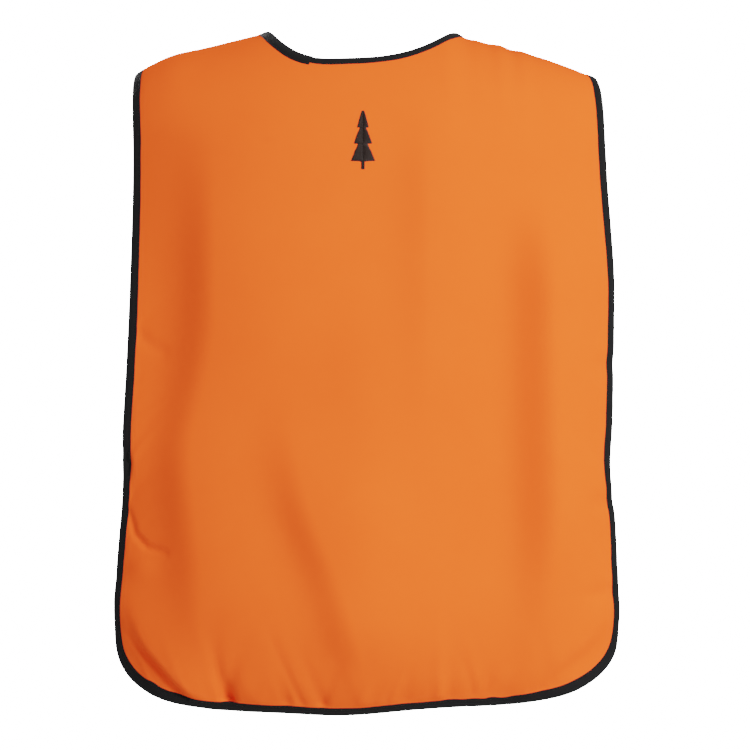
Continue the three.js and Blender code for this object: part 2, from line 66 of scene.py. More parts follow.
back_lo, back_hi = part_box("back_panel")
front_lo, front_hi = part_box("right_front_panel")
strap_lo, strap_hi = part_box("right_side_strap")
CAD_SKIN = 0.6 * MM  # from the middle of a CAD panel to its face
NECK_HALF = 108 * MM
SHOULDER_HALF = 247 * MM
SHOULDER_DROP = 43 * MM
HEM_HALF = back_hi.x + 1 * MM
HEM = back_lo.z
DEPTH = {BACK: -back_lo.y - CAD_SKIN, FRONT: front_hi.y - CAD_SKIN}
EDGE_DEPTH = 34 * MM  # how far the side edges hang from the shoulder line
FALL = {BACK: 150 * MM, FRONT: 84 * MM}  # the drop over which a panel's middle turns to hang straight
EDGE_FALL = 55 * MM  # and its side edges
FRONT_NECK_DROP = 92 * MM
ZIP_EDGE = front_lo.x
WAIST = (strap_lo.z + strap_hi.z) / 2
WAIST_ALONG = 452 * MM  # the same height, along the cloth
CORNER_TOP = HEM + 76 * MM
CORNER_ACROSS = 150 * MM
SHOULDER_BEND = SHOULDER_DROP / (SHOULDER_HALF**2 - NECK_HALF**2)
RIDGE_LIFT = 4.5 * MM  # the cloth stands this much above the shoulder line


# ---- Curves and the shape that the cloth hangs in ----
def mix(a, b, t):
    return a + (b - a) * t


def ease(t):
    t = np.clip(t, 0, 1)
    return t * t * (3 - 2 * t)


def bell(t):
    return np.exp(-(t**2))


def smooth(points, t):
    """A smooth curve through a few (t, value) points, flat beyond its ends."""
    knots, values = np.array(points, float).T
    slopes = np.gradient(values, knots)
    i = np.clip(np.searchsorted(knots, t) - 1, 0, len(knots) - 2)
    width = knots[i + 1] - knots[i]
    s = np.clip((t - knots[i]) / width, 0, 1)
    rise = (2 * s**3 - 3 * s**2 + 1) * values[i] + (3 * s**2 - 2 * s**3) * values[i + 1]
    lean = (s**3 - 2 * s**2 + s) * slopes[i] + (s**3 - s**2) * slopes[i + 1]
    return rise + width * lean


def curve(points, t):
    """The same through points given in mm."""
    return smooth(points, t / MM) * MM


def quarter_ellipse(a, b):
    """Length of a quarter of an ellipse."""
    return math.pi / 4 * (3 * (a + b) - np.sqrt((3 * a + b) * (a + 3 * b)))


def ridge(x):
    """Height of the shoulder line. The wearer's right shoulder hangs a little lower than the left."""
    arch = -SHOULDER_BEND * (x * x - NECK_HALF**2)
    right = -6.5 * MM * ease((x - 82 * MM) / (30 * MM))
    left = -1.6 * MM * bell((x + 145 * MM) / (40 * MM)) + 3 * MM * bell((x + 208 * MM) / (24 * MM))
    left_tip = -2.5 * MM * ease((-x - 232 * MM) / (14 * MM))
    seam = 0.9 * MM * np.sin(x / (4.3 * MM)) * bell((x - 150 * MM) / (26 * MM))
    return arch + right + left + left_tip + seam + RIDGE_LIFT


def stand_off(side, x):
    """How far a panel hangs from the shoulder line."""
    return mix(DEPTH[side], EDGE_DEPTH, np.abs(x / HEM_HALF) ** 2.4)


def turn_drop(side, x):
    """The drop over which a panel turns from the shoulder to hang straight."""
    return mix(FALL[side], EDGE_FALL, (x / HEM_HALF) ** 2)


def hang(side, x, d):
    """The plain hanging shape: x across, and d along the cloth from the shoulder line."""
    reach, fall = stand_off(side, x), turn_drop(side, x)
    bend = quarter_ellipse(reach, fall)
    angle = math.pi / 2 * np.clip(d / bend, 0, 1)
    drop = fall * (1 - np.cos(angle)) + np.maximum(0, d - bend)
    return np.stack([x, side * reach * np.sin(angle), ridge(x) - drop], -1)


def along_to(side, x, z):
    """The distance along the cloth at which it has dropped to height z."""
    fall = turn_drop(side, x)
    bend = quarter_ellipse(stand_off(side, x), fall)
    drop = np.maximum(0, ridge(x) - z)
    curved = bend * np.arccos(np.clip(1 - drop / fall, -1, 1)) / (math.pi / 2)
    return np.where(drop < fall, curved, bend + drop - fall)


# ---- Outlines ----
# Half widths as (distance down from the shoulder, width) in mm, for each side of the back.
SIDE_EDGES = {
    LEFT: [(0, 244), (30, 246), (100, 244.5), (160, 244), (210, 243.8), (300, 244.6),
           (385, 249), (450, 253), (490, 259.8), (550, 266.8), (600, 273.3), (650, 274.5)],
    RIGHT: [(0, 242), (35, 247.8), (90, 251.5), (160, 255), (200, 255.2), (300, 254),
            (385, 251.5), (445, 249), (475, 254.8), (550, 266.5), (600, 273.8), (650, 274.5)],
}
HEM_LINE = [(-160, -715.4), (-100, -716.5), (-25, -718.5), (60, -712.4), (110, -710.1), (160, -710)]  # in mm
CORNER_POWER = {LEFT: 2.65, RIGHT: 2.4}  # 2 gives an ellipse, and more a squarer corner
CORNER_DEEP = 650 * MM  # how far down the sides stop widening
NECK_LOW_X = -20 * MM
NECK_POINT = {LEFT: -104.5 * MM, RIGHT: 97 * MM}
NECK_POWER = {LEFT: 2.95, RIGHT: 2.6}
BACK_NECK_DROP = 46 * MM


def half_width(side, hand, d):
    if side == BACK:
        return curve(SIDE_EDGES[hand], d)
    pinch = 3 * MM * bell((d - WAIST_ALONG) / (40 * MM))
    tip = SIDE_EDGES[hand][0][1] * MM
    return mix(tip, HEM_HALF - 1 * MM, np.clip(d / CORNER_DEEP, 0, 1) ** 1.2) - pinch


def by_hand(x, left, right):
    """The left value where x is on the left, and the right value elsewhere."""
    return np.where(x < 0, left, right)


def neck_height(side, x):
    if side == FRONT:
        reach = by_hand(x, NECK_POINT[LEFT], NECK_POINT[RIGHT])
        return ridge(x) - (FRONT_NECK_DROP + ridge(0)) * np.sqrt(np.clip(1 - (x / reach) ** 2, 0, 1))
    across = x - NECK_LOW_X
    reach = by_hand(across, NECK_LOW_X - NECK_POINT[LEFT], NECK_POINT[RIGHT] - NECK_LOW_X)
    power = by_hand(across, NECK_POWER[LEFT], NECK_POWER[RIGHT])
    return ridge(x) - BACK_NECK_DROP * (1 - np.clip(np.abs(across) / reach, 0, 1) ** power)


def hem_height(side, x):
    base = curve(HEM_LINE, x) if side == BACK else np.full_like(x, HEM + 1 * MM)
    power = by_hand(x, CORNER_POWER[LEFT], CORNER_POWER[RIGHT])
    outer = by_hand(x, half_width(side, LEFT, CORNER_DEEP), half_width(side, RIGHT, CORNER_DEEP))
    t = np.clip((np.abs(x) - outer + CORNER_ACROSS) / CORNER_ACROSS, 0, 1)
    return base + (CORNER_TOP - base) * (1 - (1 - t**power) ** (1 / power))


# ---- Grids over a panel ----
NECK_SHARE = 0.44  # of a panel's columns, those that start under the neck
STRAIGHT_SHARE = 0.42  # and those that end before the hem's corner


def cut_half(side, hand, inner, columns, rows):
    """A grid of cut points (x, d) over half a panel, from its inner edge to its side edge."""
    u = np.linspace(0, 1, columns)[None, :]
    v = np.linspace(0, 1, rows)[:, None]
    neck_x = abs(NECK_POINT[hand])
    tip_x = float(half_width(side, hand, 0.0))
    hem_x = float(half_width(side, hand, CORNER_DEEP))
    neck = (neck_x - inner) / (tip_x - inner)
    straight = (hem_x - CORNER_ACROSS - inner) / (hem_x - inner)
    under_neck = neck * np.sin(math.pi / 2 * (1 - (1 - np.clip(u / NECK_SHARE, 0, 1)) ** 1.6))
    top_share = np.where(u < NECK_SHARE, under_neck, mix(neck, 1, (u - NECK_SHARE) / (1 - NECK_SHARE)))
    turn = np.sin(math.pi / 2 * np.clip((u - STRAIGHT_SHARE) / (1 - STRAIGHT_SHARE), 0, 1))
    foot_share = np.where(u < STRAIGHT_SHARE, straight * u / STRAIGHT_SHARE, mix(straight, 1, turn**0.9))
    top_x = hand * mix(inner, tip_x, top_share)
    under = np.where(u < NECK_SHARE, along_to(side, top_x, neck_height(side, top_x)), 0)
    foot_x = hand * mix(inner, hem_x, foot_share)
    foot = along_to(side, foot_x, hem_height(side, foot_x))
    d = mix(under, foot, v)
    share = mix(top_share, foot_share, v)
    return hand * mix(inner, half_width(side, hand, d), share), d


def cut_panel(side, hands, inner, columns, rows):
    """The cut grid of a front, or of the whole back from its two halves."""
    halves = [cut_half(side, hand, inner, columns, rows) for hand in hands]
    if len(halves) == 1:
        return halves[0]
    (left_x, left_d), (right_x, right_d) = halves
    join = lambda left, right: np.concatenate([left[:, ::-1], right[:, 1:]], 1)
    return join(left_x, right_x), join(left_d, right_d)


# ---- Folds, puckers and creases: how far the cloth stands out from its plain hanging shape ----
def fold(x, crest, rise, fall, height):
    """A soft fold whose left flank is rise wide and whose right flank is fall wide."""
    return height * bell((x - crest) / np.where(x < crest, rise, fall))


def between(down, start, full, fade, end):
    """1 from full to fade down the cloth, easing from 0 at start and to 0 at end."""
    return ease((down - start) / (full - start)) * (1 - ease((down - fade) / (end - fade)))


def beside(points, x, z):
    """Signed distance from a line of (x, z) points, positive on its right, and the share along it."""
    best = np.full(x.shape, 1e9)
    signed, share = np.zeros(x.shape), np.zeros(x.shape)
    for i, ((ax, az), (bx, bz)) in enumerate(zip(points, points[1:])):
        dx, dz = bx - ax, bz - az
        long = math.hypot(dx, dz)
        t = ((x - ax) * dx + (z - az) * dz) / long**2
        inside = np.clip(t, 0, 1)
        away = np.hypot(x - ax - inside * dx, z - az - inside * dz)
        turn = ((x - ax) * dz - (z - az) * dx) / long
        nearer = away < best
        best = np.where(nearer, away, best)
        signed = np.where(nearer, np.where(turn > 0, away, -away), signed)
        share = np.where(nearer, (i + inside) / (len(points) - 1), share)
    return signed, share


def crease(x, z, points, width, height):
    """A valley or ridge along a line, fading at both ends."""
    away, share = beside(points, x, z)
    return height * bell(away / width) * np.sin(math.pi * share) ** 0.5


def ledge(x, z, points, width, height, reach):
    """A step along a line: the cloth on its right-hand side stands height further out, fading over reach."""
    away, share = beside(points, x, z)
    step = 0.5 + 0.5 * np.tanh(away / width)
    ends = np.sin(math.pi * np.clip(share, 0.03, 0.97)) ** 0.4
    return height * step * bell(np.maximum(away, 0) / reach) * ends


def swell(x, z, seed, height):
    """The slight unevenness of cloth that has been folded and hung up again."""
    dice = random.Random(seed)
    total = np.zeros(x.shape)
    for _ in range(9):
        wave = dice.uniform(70, 190) * MM
        lean = dice.uniform(-0.6, 0.6)
        phase = dice.uniform(0, 2 * math.pi)
        total += np.sin(2 * math.pi * (x * math.cos(lean) + z * math.sin(lean)) / wave + phase) * wave
    return height * total / (0.35 * 9)


def puckers(place, inward, seed, count, span, height):
    """Small gathers along a bound edge. place is where along it, and inward the distance from it."""
    dice = random.Random(seed)
    total = np.zeros(place.shape)
    for _ in range(count):
        centre = dice.uniform(*span)
        wide = dice.uniform(3.5, 7.5) * MM
        reach = dice.uniform(12, 34) * MM
        lean = dice.uniform(-0.5, 0.5)
        tall = height * dice.uniform(-1, 1)
        total += tall * bell((place - centre - lean * inward) / wide) * np.exp(-inward / reach)
    return total * ease((inward - 6 * MM) / (7 * MM))


# Every table below is in mm.
# Folds: the crest as (down, across) points, its left and right flank, its height, and where down the cloth it
# starts, is full, begins to fade and ends.
BACK_FOLDS = [
    ([(100, -158), (240, -152), (310, -153), (370, -164), (430, -178), (490, -176), (550, -171), (660, -172)],
     34, 170, 13.5, (60, 260, 460, 820)),
    ([(0, -272), (700, -272)], 20, 45, 13, (120, 340, 420, 520)),
    ([(420, -74), (500, -56), (580, -26), (660, -4)], 30, 90, 13, (360, 520, 620, 730)),
    ([(0, 66), (700, 66)], 26, 90, 6, (60, 170, 240, 500)),
    ([(0, 8), (700, 8)], 40, 80, 4, (200, 380, 500, 620)),
    ([(140, 186), (340, 187), (500, 191)], 28, 70, 28, (150, 280, 480, 700)),
    ([(0, -92), (700, -92)], 90, 68, -8, (300, 420, 500, 640)),
]
# The fronts' folds, with the crest across from the middle and the inner and outer flank.
FRONT_FOLDS = {
    LEFT: [([(0, 118), (700, 150)], 26, 55, 13, (100, 260, 600, 780)),
           ([(0, 66), (700, 78)], 18, 28, 6, (220, 360, 500, 680)),
           ([(0, 196), (700, 212)], 28, 20, 9, (220, 400, 580, 760)),
           ([(0, 176), (700, 104)], 16, 26, 5, (400, 520, 600, 720))],
    RIGHT: [([(0, 132), (700, 128)], 38, 28, 12, (80, 240, 560, 740)),
            ([(0, 78), (700, 64)], 20, 24, 6, (280, 420, 600, 740)),
            ([(0, 190), (700, 222)], 22, 32, 10, (180, 340, 520, 700)),
            ([(0, 150), (700, 182)], 14, 22, 4.5, (360, 480, 560, 660))],
}
# Creases: a line of (across, up) points, its half width and its height.
BACK_CREASES = [
    ([(-199, -704), (-215, -689), (-238, -661), (-260, -634)], 4.2, -4.6),
    ([(-252, -500), (-245, -530), (-232, -543), (-205, -549)], 3.6, -2.6),
    ([(-249, -436), (-246, -455), (-250, -474)], 3.2, -2.4),
    ([(-240, -312), (-226, -330), (-205, -340)], 7, -1.3),
    ([(-140, -100), (-110, -104), (-80, -106)], 3, -0.45),
    ([(-122, -114), (-100, -122), (-76, -128)], 3.5, -0.5),
]
FRONT_CREASES = [
    ([(236, -430), (200, -415), (160, -385), (120, -372)], 6, -1.5),
    ([(238, -492), (206, -512), (170, -545)], 6, -1.4),
    ([(225, -60), (180, -110), (130, -190)], 9, -1.6),
]
# Dents and bulges: the middle (across, up), half sizes and height. Near the shoulder seam, (across, along).
BACK_DENTS = [(246, -350, 20, 10, -2), (246, -494, 20, 10, -2.4), (246, -592, 20, 10, -2.2),
              (-240, -562, 16, 15, 2.6)]
SEAM_DENTS = {BACK: [(135, 16, 30, 14, -3), (-120, 22, 16, 14, -2)], FRONT: [(150, 20, 35, 14, -2.4)]}
# Steps above the lower corners: the line, its width inside and at the edge, where that widens and over what
# distance, and its height.
CORNER_LEDGES = {
    LEFT: ([(-180, -715), (-208, -690), (-234, -658), (-262, -624), (-290, -590)], 3, 17, 236, 26, 8),
    RIGHT: ([(300, -600), (268, -624), (234, -653), (209, -672), (180, -715)], 7, 16, 235, 30, 6),
}
LEDGE_REACH = 50 * MM


def folds(x, down, table):
    total = 0
    for crest, left, right, height, span in table:
        one = fold(x, curve(crest, down), left * MM, right * MM, height * MM)
        total = total + one * between(down / MM, *span)
    return total


def creases(x, z, table):
    total = 0
    for points, width, height in table:
        total = total + crease(x, z, np.array(points) * MM, width * MM, height * MM)
    return total


def dents(x, y, table):
    total = 0
    for across, up, wide, tall, height in table:
        total = total + height * MM * bell((x / MM - across) / wide) * bell((y / MM - up) / tall)
    return total


def back_relief(x, z, d):
    down = -z
    relief = folds(x, down, BACK_FOLDS) + creases(x, z, BACK_CREASES)
    relief += dents(x, z, BACK_DENTS) + dents(x, d, SEAM_DENTS[BACK])
    relief -= 26 * MM * np.clip((down - 450 * MM) / (270 * MM), 0, 1) ** 2
    for hand, (points, narrow, wide, widens, over, height) in CORNER_LEDGES.items():
        width = mix(narrow, wide, ease((hand * x / MM - widens) / over)) * MM
        relief += ledge(x, z, np.array(points) * MM, width, height * MM, LEDGE_REACH)
    return relief + swell(x, z, 3, 0.8 * MM)


def front_relief(x, z, d):
    down, out = -z, np.abs(x)
    relief = by_hand(x, folds(out, down, FRONT_FOLDS[LEFT]), folds(out, down, FRONT_FOLDS[RIGHT]))
    relief += creases(out, z, FRONT_CREASES) + dents(out, d, SEAM_DENTS[FRONT])
    relief -= 5 * MM * ease((down - 630 * MM) / (100 * MM))
    return (relief + swell(x, z, 11, 0.9 * MM)) * ease((out - ZIP_EDGE) / (35 * MM))


RELIEF = {BACK: back_relief, FRONT: front_relief}
# How far the hem curls in, over what height.
HEM_CURLS = {BACK: [(24 * MM, 130 * MM), (6 * MM, 36 * MM)], FRONT: [(8 * MM, 60 * MM)]}
CURL_INNER, CURL_FADE = 150 * MM, 85 * MM  # it is full out to here, and fades to the corner over this
PUCKER_SEEDS = {BACK: 21, FRONT: 34}
HEM_SPAN, SIDE_SPAN = (-0.235, 0.235), (0.30, 0.62)


def edge_relief(side, x, z, d):
    """The hem's curl, and the gathers along the hem and the side edges."""
    hem_gap = z - hem_height(side, x)
    hem_in = np.maximum(hem_gap, 0)
    side_in = np.maximum(by_hand(x, half_width(side, LEFT, d), half_width(side, RIGHT, d)) - np.abs(x), 0)
    free = 1 - ease((np.abs(x) - CURL_INNER) / CURL_FADE)
    if side == FRONT:
        free = free * ease((np.abs(x) - ZIP_EDGE) / (40 * MM))
    seed = PUCKER_SEEDS[side]
    relief = puckers(x, hem_in, seed, 52, HEM_SPAN, 4.2 * MM)
    if side == BACK:
        relief = relief + puckers(x, hem_in, 6, 9, (-0.212, -0.140), 6 * MM)
    else:
        relief = relief * free
    for turn, reach in HEM_CURLS[side]:
        relief = relief - free * turn * np.clip(1 - hem_gap / reach, 0, 1.3) ** 2
    # Each side edge has its own gathers: the other side's lie out of its span.
    relief = relief + puckers(d + by_hand(x, 0, 2), side_in, seed + 1, 30, SIDE_SPAN, 1.3 * MM)
    return relief + puckers(d + by_hand(x, 2, 0), side_in, seed + 2, 22, SIDE_SPAN, 1.0 * MM)


def drape(side, x, d):
    """Points of the cloth in its hanging folds, and the outward normals."""
    def surface(x, d):
        plain = hang(side, x, d)
        z = plain[..., 2]
        out = RELIEF[side](x, z, d) * ease(d / (20 * MM)) + edge_relief(side, x, z, d)
        return plain + out[..., None] * plain_normal(side, x, d)

    points = surface(x, d)
    step = 0.6 * MM
    across = surface(x + step, d) - surface(x - step, d)
    down = surface(x, d + step) - surface(x, d - step)
    return points, side * unit(np.cross(across, down))


def unit(vectors):
    return vectors / np.maximum(np.linalg.norm(vectors, axis=-1, keepdims=True), 1e-12)


def plain_normal(side, x, d):
    step = 0.5 * MM
    across = hang(side, x + step, d) - hang(side, x - step, d)
    down = hang(side, x, d + step) - hang(side, x, np.maximum(d - step, -step))
    return side * unit(np.cross(across, down))


# ---- Meshes ----
def add_mesh(name, points, faces, uv=None):
    mesh = bpy.data.meshes.new(name)
    mesh.from_pydata(np.asarray(points).reshape(-1, 3).tolist(), [], faces)
    mesh.polygons.foreach_set("use_smooth", [True] * len(mesh.polygons))
    if uv is not None:
        layer = mesh.uv_layers.new(name="cut")
        loops = np.empty(len(mesh.loops), int)
        mesh.loops.foreach_get("vertex_index", loops)
        layer.data.foreach_set("uv", np.asarray(uv).reshape(-1, 2)[loops].ravel())
    mesh.update()
    return add_object(name, mesh)


def add_object(name, data):
    added = bpy.data.objects.new(name, data)
    bpy.context.scene.collection.objects.link(added)
    return added


def grid_faces(rows, columns, start=0, wrap=False):
    """Quads over a grid of points. wrap joins the last column to the first."""
    faces = []
    for r in range(rows - 1):
        for c in range(columns if wrap else columns - 1):
            a, b = start + r * columns + c, start + r * columns + (c + 1) % columns
            faces.append((a, b, b + columns, a + columns))
    return faces


def closed_sheet(name, outer, lining, cut=None):
    """A closed solid between two matching grids of points."""
    rows, columns = outer.shape[:2]
    count = rows * columns
    faces = grid_faces(rows, columns)
    faces += [tuple(count + i for i in reversed(face)) for face in grid_faces(rows, columns)]
    loop = list(range(columns)) + [r * columns + columns - 1 for r in range(1, rows)]
    loop += [(rows - 1) * columns + c for c in range(columns - 2, -1, -1)]
    loop += [r * columns for r in range(rows - 2, 0, -1)]
    faces += [(b, a, count + a, count + b) for a, b in zip(loop, loop[1:] + loop[:1])]
    uv = None if cut is None else np.concatenate([cut, cut])
    return turned_out(add_mesh(name, np.concatenate([outer, lining]), faces, uv))


def cloth_panel(name, side, hands, inner, columns, rows):
    """A closed sheet of cloth over a cut grid, its inside in the second material. Returns the cut too."""
    cut = np.stack(cut_panel(side, hands, inner, columns, rows), -1)
    points, normals = drape(side, cut[..., 0], cut[..., 1])
    piece = closed_sheet(name, points + normals * CLOTH / 2, points - normals * CLOTH / 2, cut)
    count = (cut.shape[0] - 1) * (cut.shape[1] - 1)
    for face in piece.data.polygons[count:2 * count]:
        face.material_index = 1
    return piece, cut


def resample(path, spacing, *others):
    """Points at an even spacing along a path, with other vectors or values carried along."""
    steps = np.linalg.norm(np.diff(path, axis=0), axis=1)
    at = np.concatenate([[0], np.cumsum(steps)])
    count = max(2, int(round(at[-1] / spacing)) + 1)
    where = np.linspace(0, at[-1], count)
    pick = lambda values: np.stack([np.interp(where, at, column) for column in values.T], -1)
    return [pick(path)] + [pick(other) for other in others] + [where]


def tube(name, rings):
    """A closed solid through matching rings of points. Its UV map is the distances round and along it."""
    rows, columns = rings.shape[:2]
    faces = grid_faces(rows, columns, wrap=True)
    faces += [tuple(reversed(range(columns))), tuple((rows - 1) * columns + c for c in range(columns))]
    run = lambda points: np.concatenate([[0], np.cumsum(np.linalg.norm(np.diff(points, axis=0), axis=1))])
    uv = np.stack(np.meshgrid(run(rings[0]), run(rings.mean(1))), -1)
    return turned_out(add_mesh(name, rings, faces, uv))


def sweep(name, path, sides, ups, section):
    """A closed section [(along side, along up)] carried along a path."""
    section = np.asarray(section, float)
    return tube(name, path[:, None] + section[:, :1] * sides[:, None] + section[:, 1:] * ups[:, None])


def turned_out(piece):
    """Makes a closed mesh's faces point out."""
    mesh = piece.data
    mesh.calc_loop_triangles()
    points = np.empty(len(mesh.vertices) * 3)
    mesh.vertices.foreach_get("co", points)
    corners = np.empty(len(mesh.loop_triangles) * 3, int)
    mesh.loop_triangles.foreach_get("vertices", corners)
    a, b, c = (points.reshape(-1, 3)[corners[k::3]] for k in range(3))
    if np.sum(a * np.cross(b, c)) < 0:
        mesh.flip_normals()
    return piece


# ---- Edges, bindings and stitches ----
class Track:
    """An evenly spaced line along a panel's edge, held in the flat cut and laid over the draped cloth."""

    def __init__(self, side, cut, middle, spacing=1.6 * MM):
        self.side = side
        points, _ = drape(side, cut[:, 0], cut[:, 1])
        _, self.cut, self.along = resample(points, spacing, cut)
        run = unit(np.gradient(self.cut, axis=0))
        self.inward = np.stack([-run[:, 1], run[:, 0]], -1)
        if np.sum(self.inward * (middle - self.cut)) < 0:
            self.inward = -self.inward
        for _ in range(6):
            self.inward[1:-1] = (self.inward[:-2] + self.inward[1:-1] * 2 + self.inward[2:]) / 4
        self.inward = unit(self.inward)

    def over(self, inset, height):
        """Points this far into the panel and off the cloth's middle, with the cloth's normals there."""
        spots = self.cut[:, None] + self.inward[:, None] * inset[..., None]
        points, normals = drape(self.side, spots[..., 0], spots[..., 1])
        return points + normals * height[..., None], normals


def wander(along, seed, size, wave):
    """Small smooth unevenness along a hand-guided seam."""
    dice = random.Random(seed)
    total = np.zeros(along.shape)
    for _ in range(5):
        total += np.sin(2 * math.pi * along / (wave * dice.uniform(0.5, 2)) + dice.uniform(0, 6.28))
    return size * total / 3


# A binding's lip in from the cloth's edge, how far it stands past the edge, and how full it is.
EDGE_TAPE = (7.4 * MM, 1.2 * MM, 1.0)
NECK_TAPES = {LEFT: (9.4 * MM, 2.4 * MM, 1.8), RIGHT: (6.8 * MM, 1.3 * MM, 1.0)}
TAPE = 0.6 * MM
STITCH_IN = 1.7 * MM  # from the binding's lip to its line of stitches
BINDING_THREAD, FINE_THREAD = 0.24 * MM, 0.2 * MM  # radii
THREAD_REST = CLOTH / 2 + 0.05 * MM  # from the cloth's middle to its thread's


def hairpin(lip, proud, puff):
    """Section of a tape folded round the cloth's edge: (inwards, outwards from the cloth's middle)."""
    inside = CLOTH / 2 + 0.05 * MM
    skin = inside + TAPE
    stitch = lip - STITCH_IN
    face = [(lip, skin - 0.25 * MM), (lip - 0.4 * MM, skin + 0.05 * MM), (stitch + 0.7 * MM, skin),
            (stitch, skin - 0.3 * MM), (stitch - 0.9 * MM, skin + 0.1 * MM),
            (mix(stitch, 0, 0.45), skin + 0.45 * MM * puff), (0.5 * MM, skin + 0.35 * MM * puff),
            (-0.5 * proud, skin + 0.1 * MM), (-0.9 * proud, 0.55 * skin)]
    hollow = [(lip, -inside), (0.4 * MM, -inside), (0.4 * MM, inside), (lip, inside)]
    return face + [(-proud, 0)] + [(s, -h) for s, h in reversed(face)] + hollow


def binding(name, track, lip, proud, seed, puff):
    """A tape folded round a panel's edge, a little uneven in width and fullness."""
    reach, height = np.array(hairpin(lip, proud, puff)).T
    uneven = wander(track.along, seed, 0.22 * MM, 0.06)[:, None] * np.clip(reach / lip, 0, 1)
    gather = wander(track.along, seed + 7, 0.12 * MM, 0.012)[:, None] * (np.abs(height) > CLOTH)
    rings, _ = track.over(reach + uneven, height + gather * np.sign(height))
    return tube(name, rings)


def rods(name, starts, ends, outs, radius, sides=6, steps=4):
    """Many short rounded threads in one mesh, each from a start to an end, arched a little along outs."""
    starts, ends, outs = (np.asarray(v, float) for v in (starts, ends, outs))
    run = ends - starts
    across = unit(np.cross(run, outs))
    up = unit(np.cross(across, run))
    rings = []
    for k in range(steps + 1):
        t = k / steps
        full = radius * math.sqrt(max(0.04, 1 - (2 * t - 1) ** 4))
        middle = starts + run * t + outs * radius * 0.9 * math.sin(math.pi * t)
        for s in range(sides):
            angle = 2 * math.pi * s / sides
            rings.append(middle + (across * math.cos(angle) + up * math.sin(angle)) * full)
    points = np.stack(rings, 1)
    each = sides * (steps + 1)
    one = grid_faces(steps + 1, sides, wrap=True)
    one += [tuple(reversed(range(sides))), tuple(steps * sides + s for s in range(sides))]
    faces = [tuple(i + n * each for i in face) for n in range(len(points)) for face in one]
    return turned_out(add_mesh(name, points, faces))


def sew(name, lines, look, body, radius, bend=None):
    """One piece of thread for several lines of stitches."""
    thread = rods(name, *(np.concatenate(v) for v in zip(*lines)), radius)
    return finish_piece(thread, look, body, bend=bend)


def stitch_line(path, sides, ups, seed, pitch=3 * MM, long=2.3 * MM, slack=0.12 * MM):
    """Starts, ends and outward directions of a line of stitches along a path."""
    dice = random.Random(seed)
    path, sides, ups, along = resample(path, pitch, sides, ups)
    forward = unit(np.gradient(path, axis=0))
    starts, ends = [], []
    for point, side, way in zip(path[1:-1], sides[1:-1], forward[1:-1]):
        lean = side * dice.uniform(-slack, slack)
        starts.append(point - way * long / 2 - lean)
        ends.append(point + way * long / 2 + lean)
    return np.array(starts), np.array(ends), unit(ups[1:-1])


def binding_stitches(track, lip, seed):
    """The lines of thread that hold a binding, on both faces."""
    height = CLOTH / 2 + TAPE - 0.1 * MM
    inset = (lip - STITCH_IN + wander(track.along, seed - 4, 0.22 * MM, 0.06) * 0.8)[:, None]
    lines = []
    for face in (1, -1):
        points, normals = track.over(inset, np.full(inset.shape, face * height))
        path, up = points[:, 0], normals[:, 0] * face
        across = unit(np.cross(up, np.gradient(path, axis=0)))
        lines.append(stitch_line(path, across, up, seed + face))
    return lines


def bind(name, stitch_name, track, body, node, seeds, bend=None, cut=EDGE_TAPE):
    """A binding and its thread. Returns both pieces."""
    lip, proud, puff = cut
    tape = binding(name, track, lip, proud, seeds[0], puff)
    finish_piece(tape, "tape", body, [node], bend)
    lines = binding_stitches(track, lip, seeds[1])
    return [tape, sew(stitch_name, lines, "thread", body, BINDING_THREAD, bend)]


# ---- Panels ----
def rim(grid):
    """A back panel's side, hem and other side."""
    return np.concatenate([grid[:-1, 0], grid[-1, :-1], grid[::-1, -1]])


def front_rim(grid):
    """A front panel's side and hem, from the shoulder tip to the zip."""
    return np.concatenate([grid[:-1, -1], grid[-1, ::-1]])


def neck_track(side, from_x, to_x, middle):
    x = np.linspace(from_x, to_x, 160)
    d = along_to(side, x, neck_height(side, x))
    return Track(side, np.stack([x, d], -1), middle, 1.2 * MM)


def seam_line(side, hand, from_x, to_x, d, lift):
    """Points along the cloth at a fixed distance from the shoulder line, with sides and normals."""
    x = hand * np.linspace(from_x, to_x, 120)
    points, normals = drape(side, x, np.full(120, d))
    along = unit(np.gradient(points, axis=0))
    return points + normals * lift, unit(np.cross(normals, along)), normals


def finish_piece(piece, look, body, replaces=(), bend=None):
    """Gives a piece its material, in its only material slot, and its body unless bend is given. With bend, its
    placement is baked into its mesh instead; nothing bends it.
    """
    piece.data.materials.clear()
    piece.data.materials.append(looks[look])
    if bend:
        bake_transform(piece)
    else:
        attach(piece, body)
    if replaces:
        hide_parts(*replaces)
    return piece


SEAM_REACH = 43 * MM  # how far over the shoulder a front's second bend point lies from the first
SEAM_SLOPE = 0.31  # how the shoulder seam falls towards its tip
NECK_JOIN, NECK_OVERLAP = -56 * MM, 7 * MM  # where the back's neck binding is lapped


def seam_ends(hand):
    """Where the bend at a shoulder seam starts and ends, square to the seam."""
    start = Vector((hand * NECK_HALF, 0, 0))
    return start, start + Vector((-hand * SEAM_SLOPE, 1, -1)) * SEAM_REACH


def make_panel(name, side, hands, inner, columns, rows, body, node, bend=None):
    """A cloth panel in its two materials. Returns the piece, its cut and the cut's middle."""
    panel, cut = cloth_panel(name, side, hands, inner, columns, rows)
    finish_piece(panel, "orange", body, [node], bend)
    # The second material, for the inside faces, holds a painted glow of light through the cloth.
    panel.data.materials.append(looks["lining"])
    return panel, cut, cut.reshape(-1, 2).mean(0)


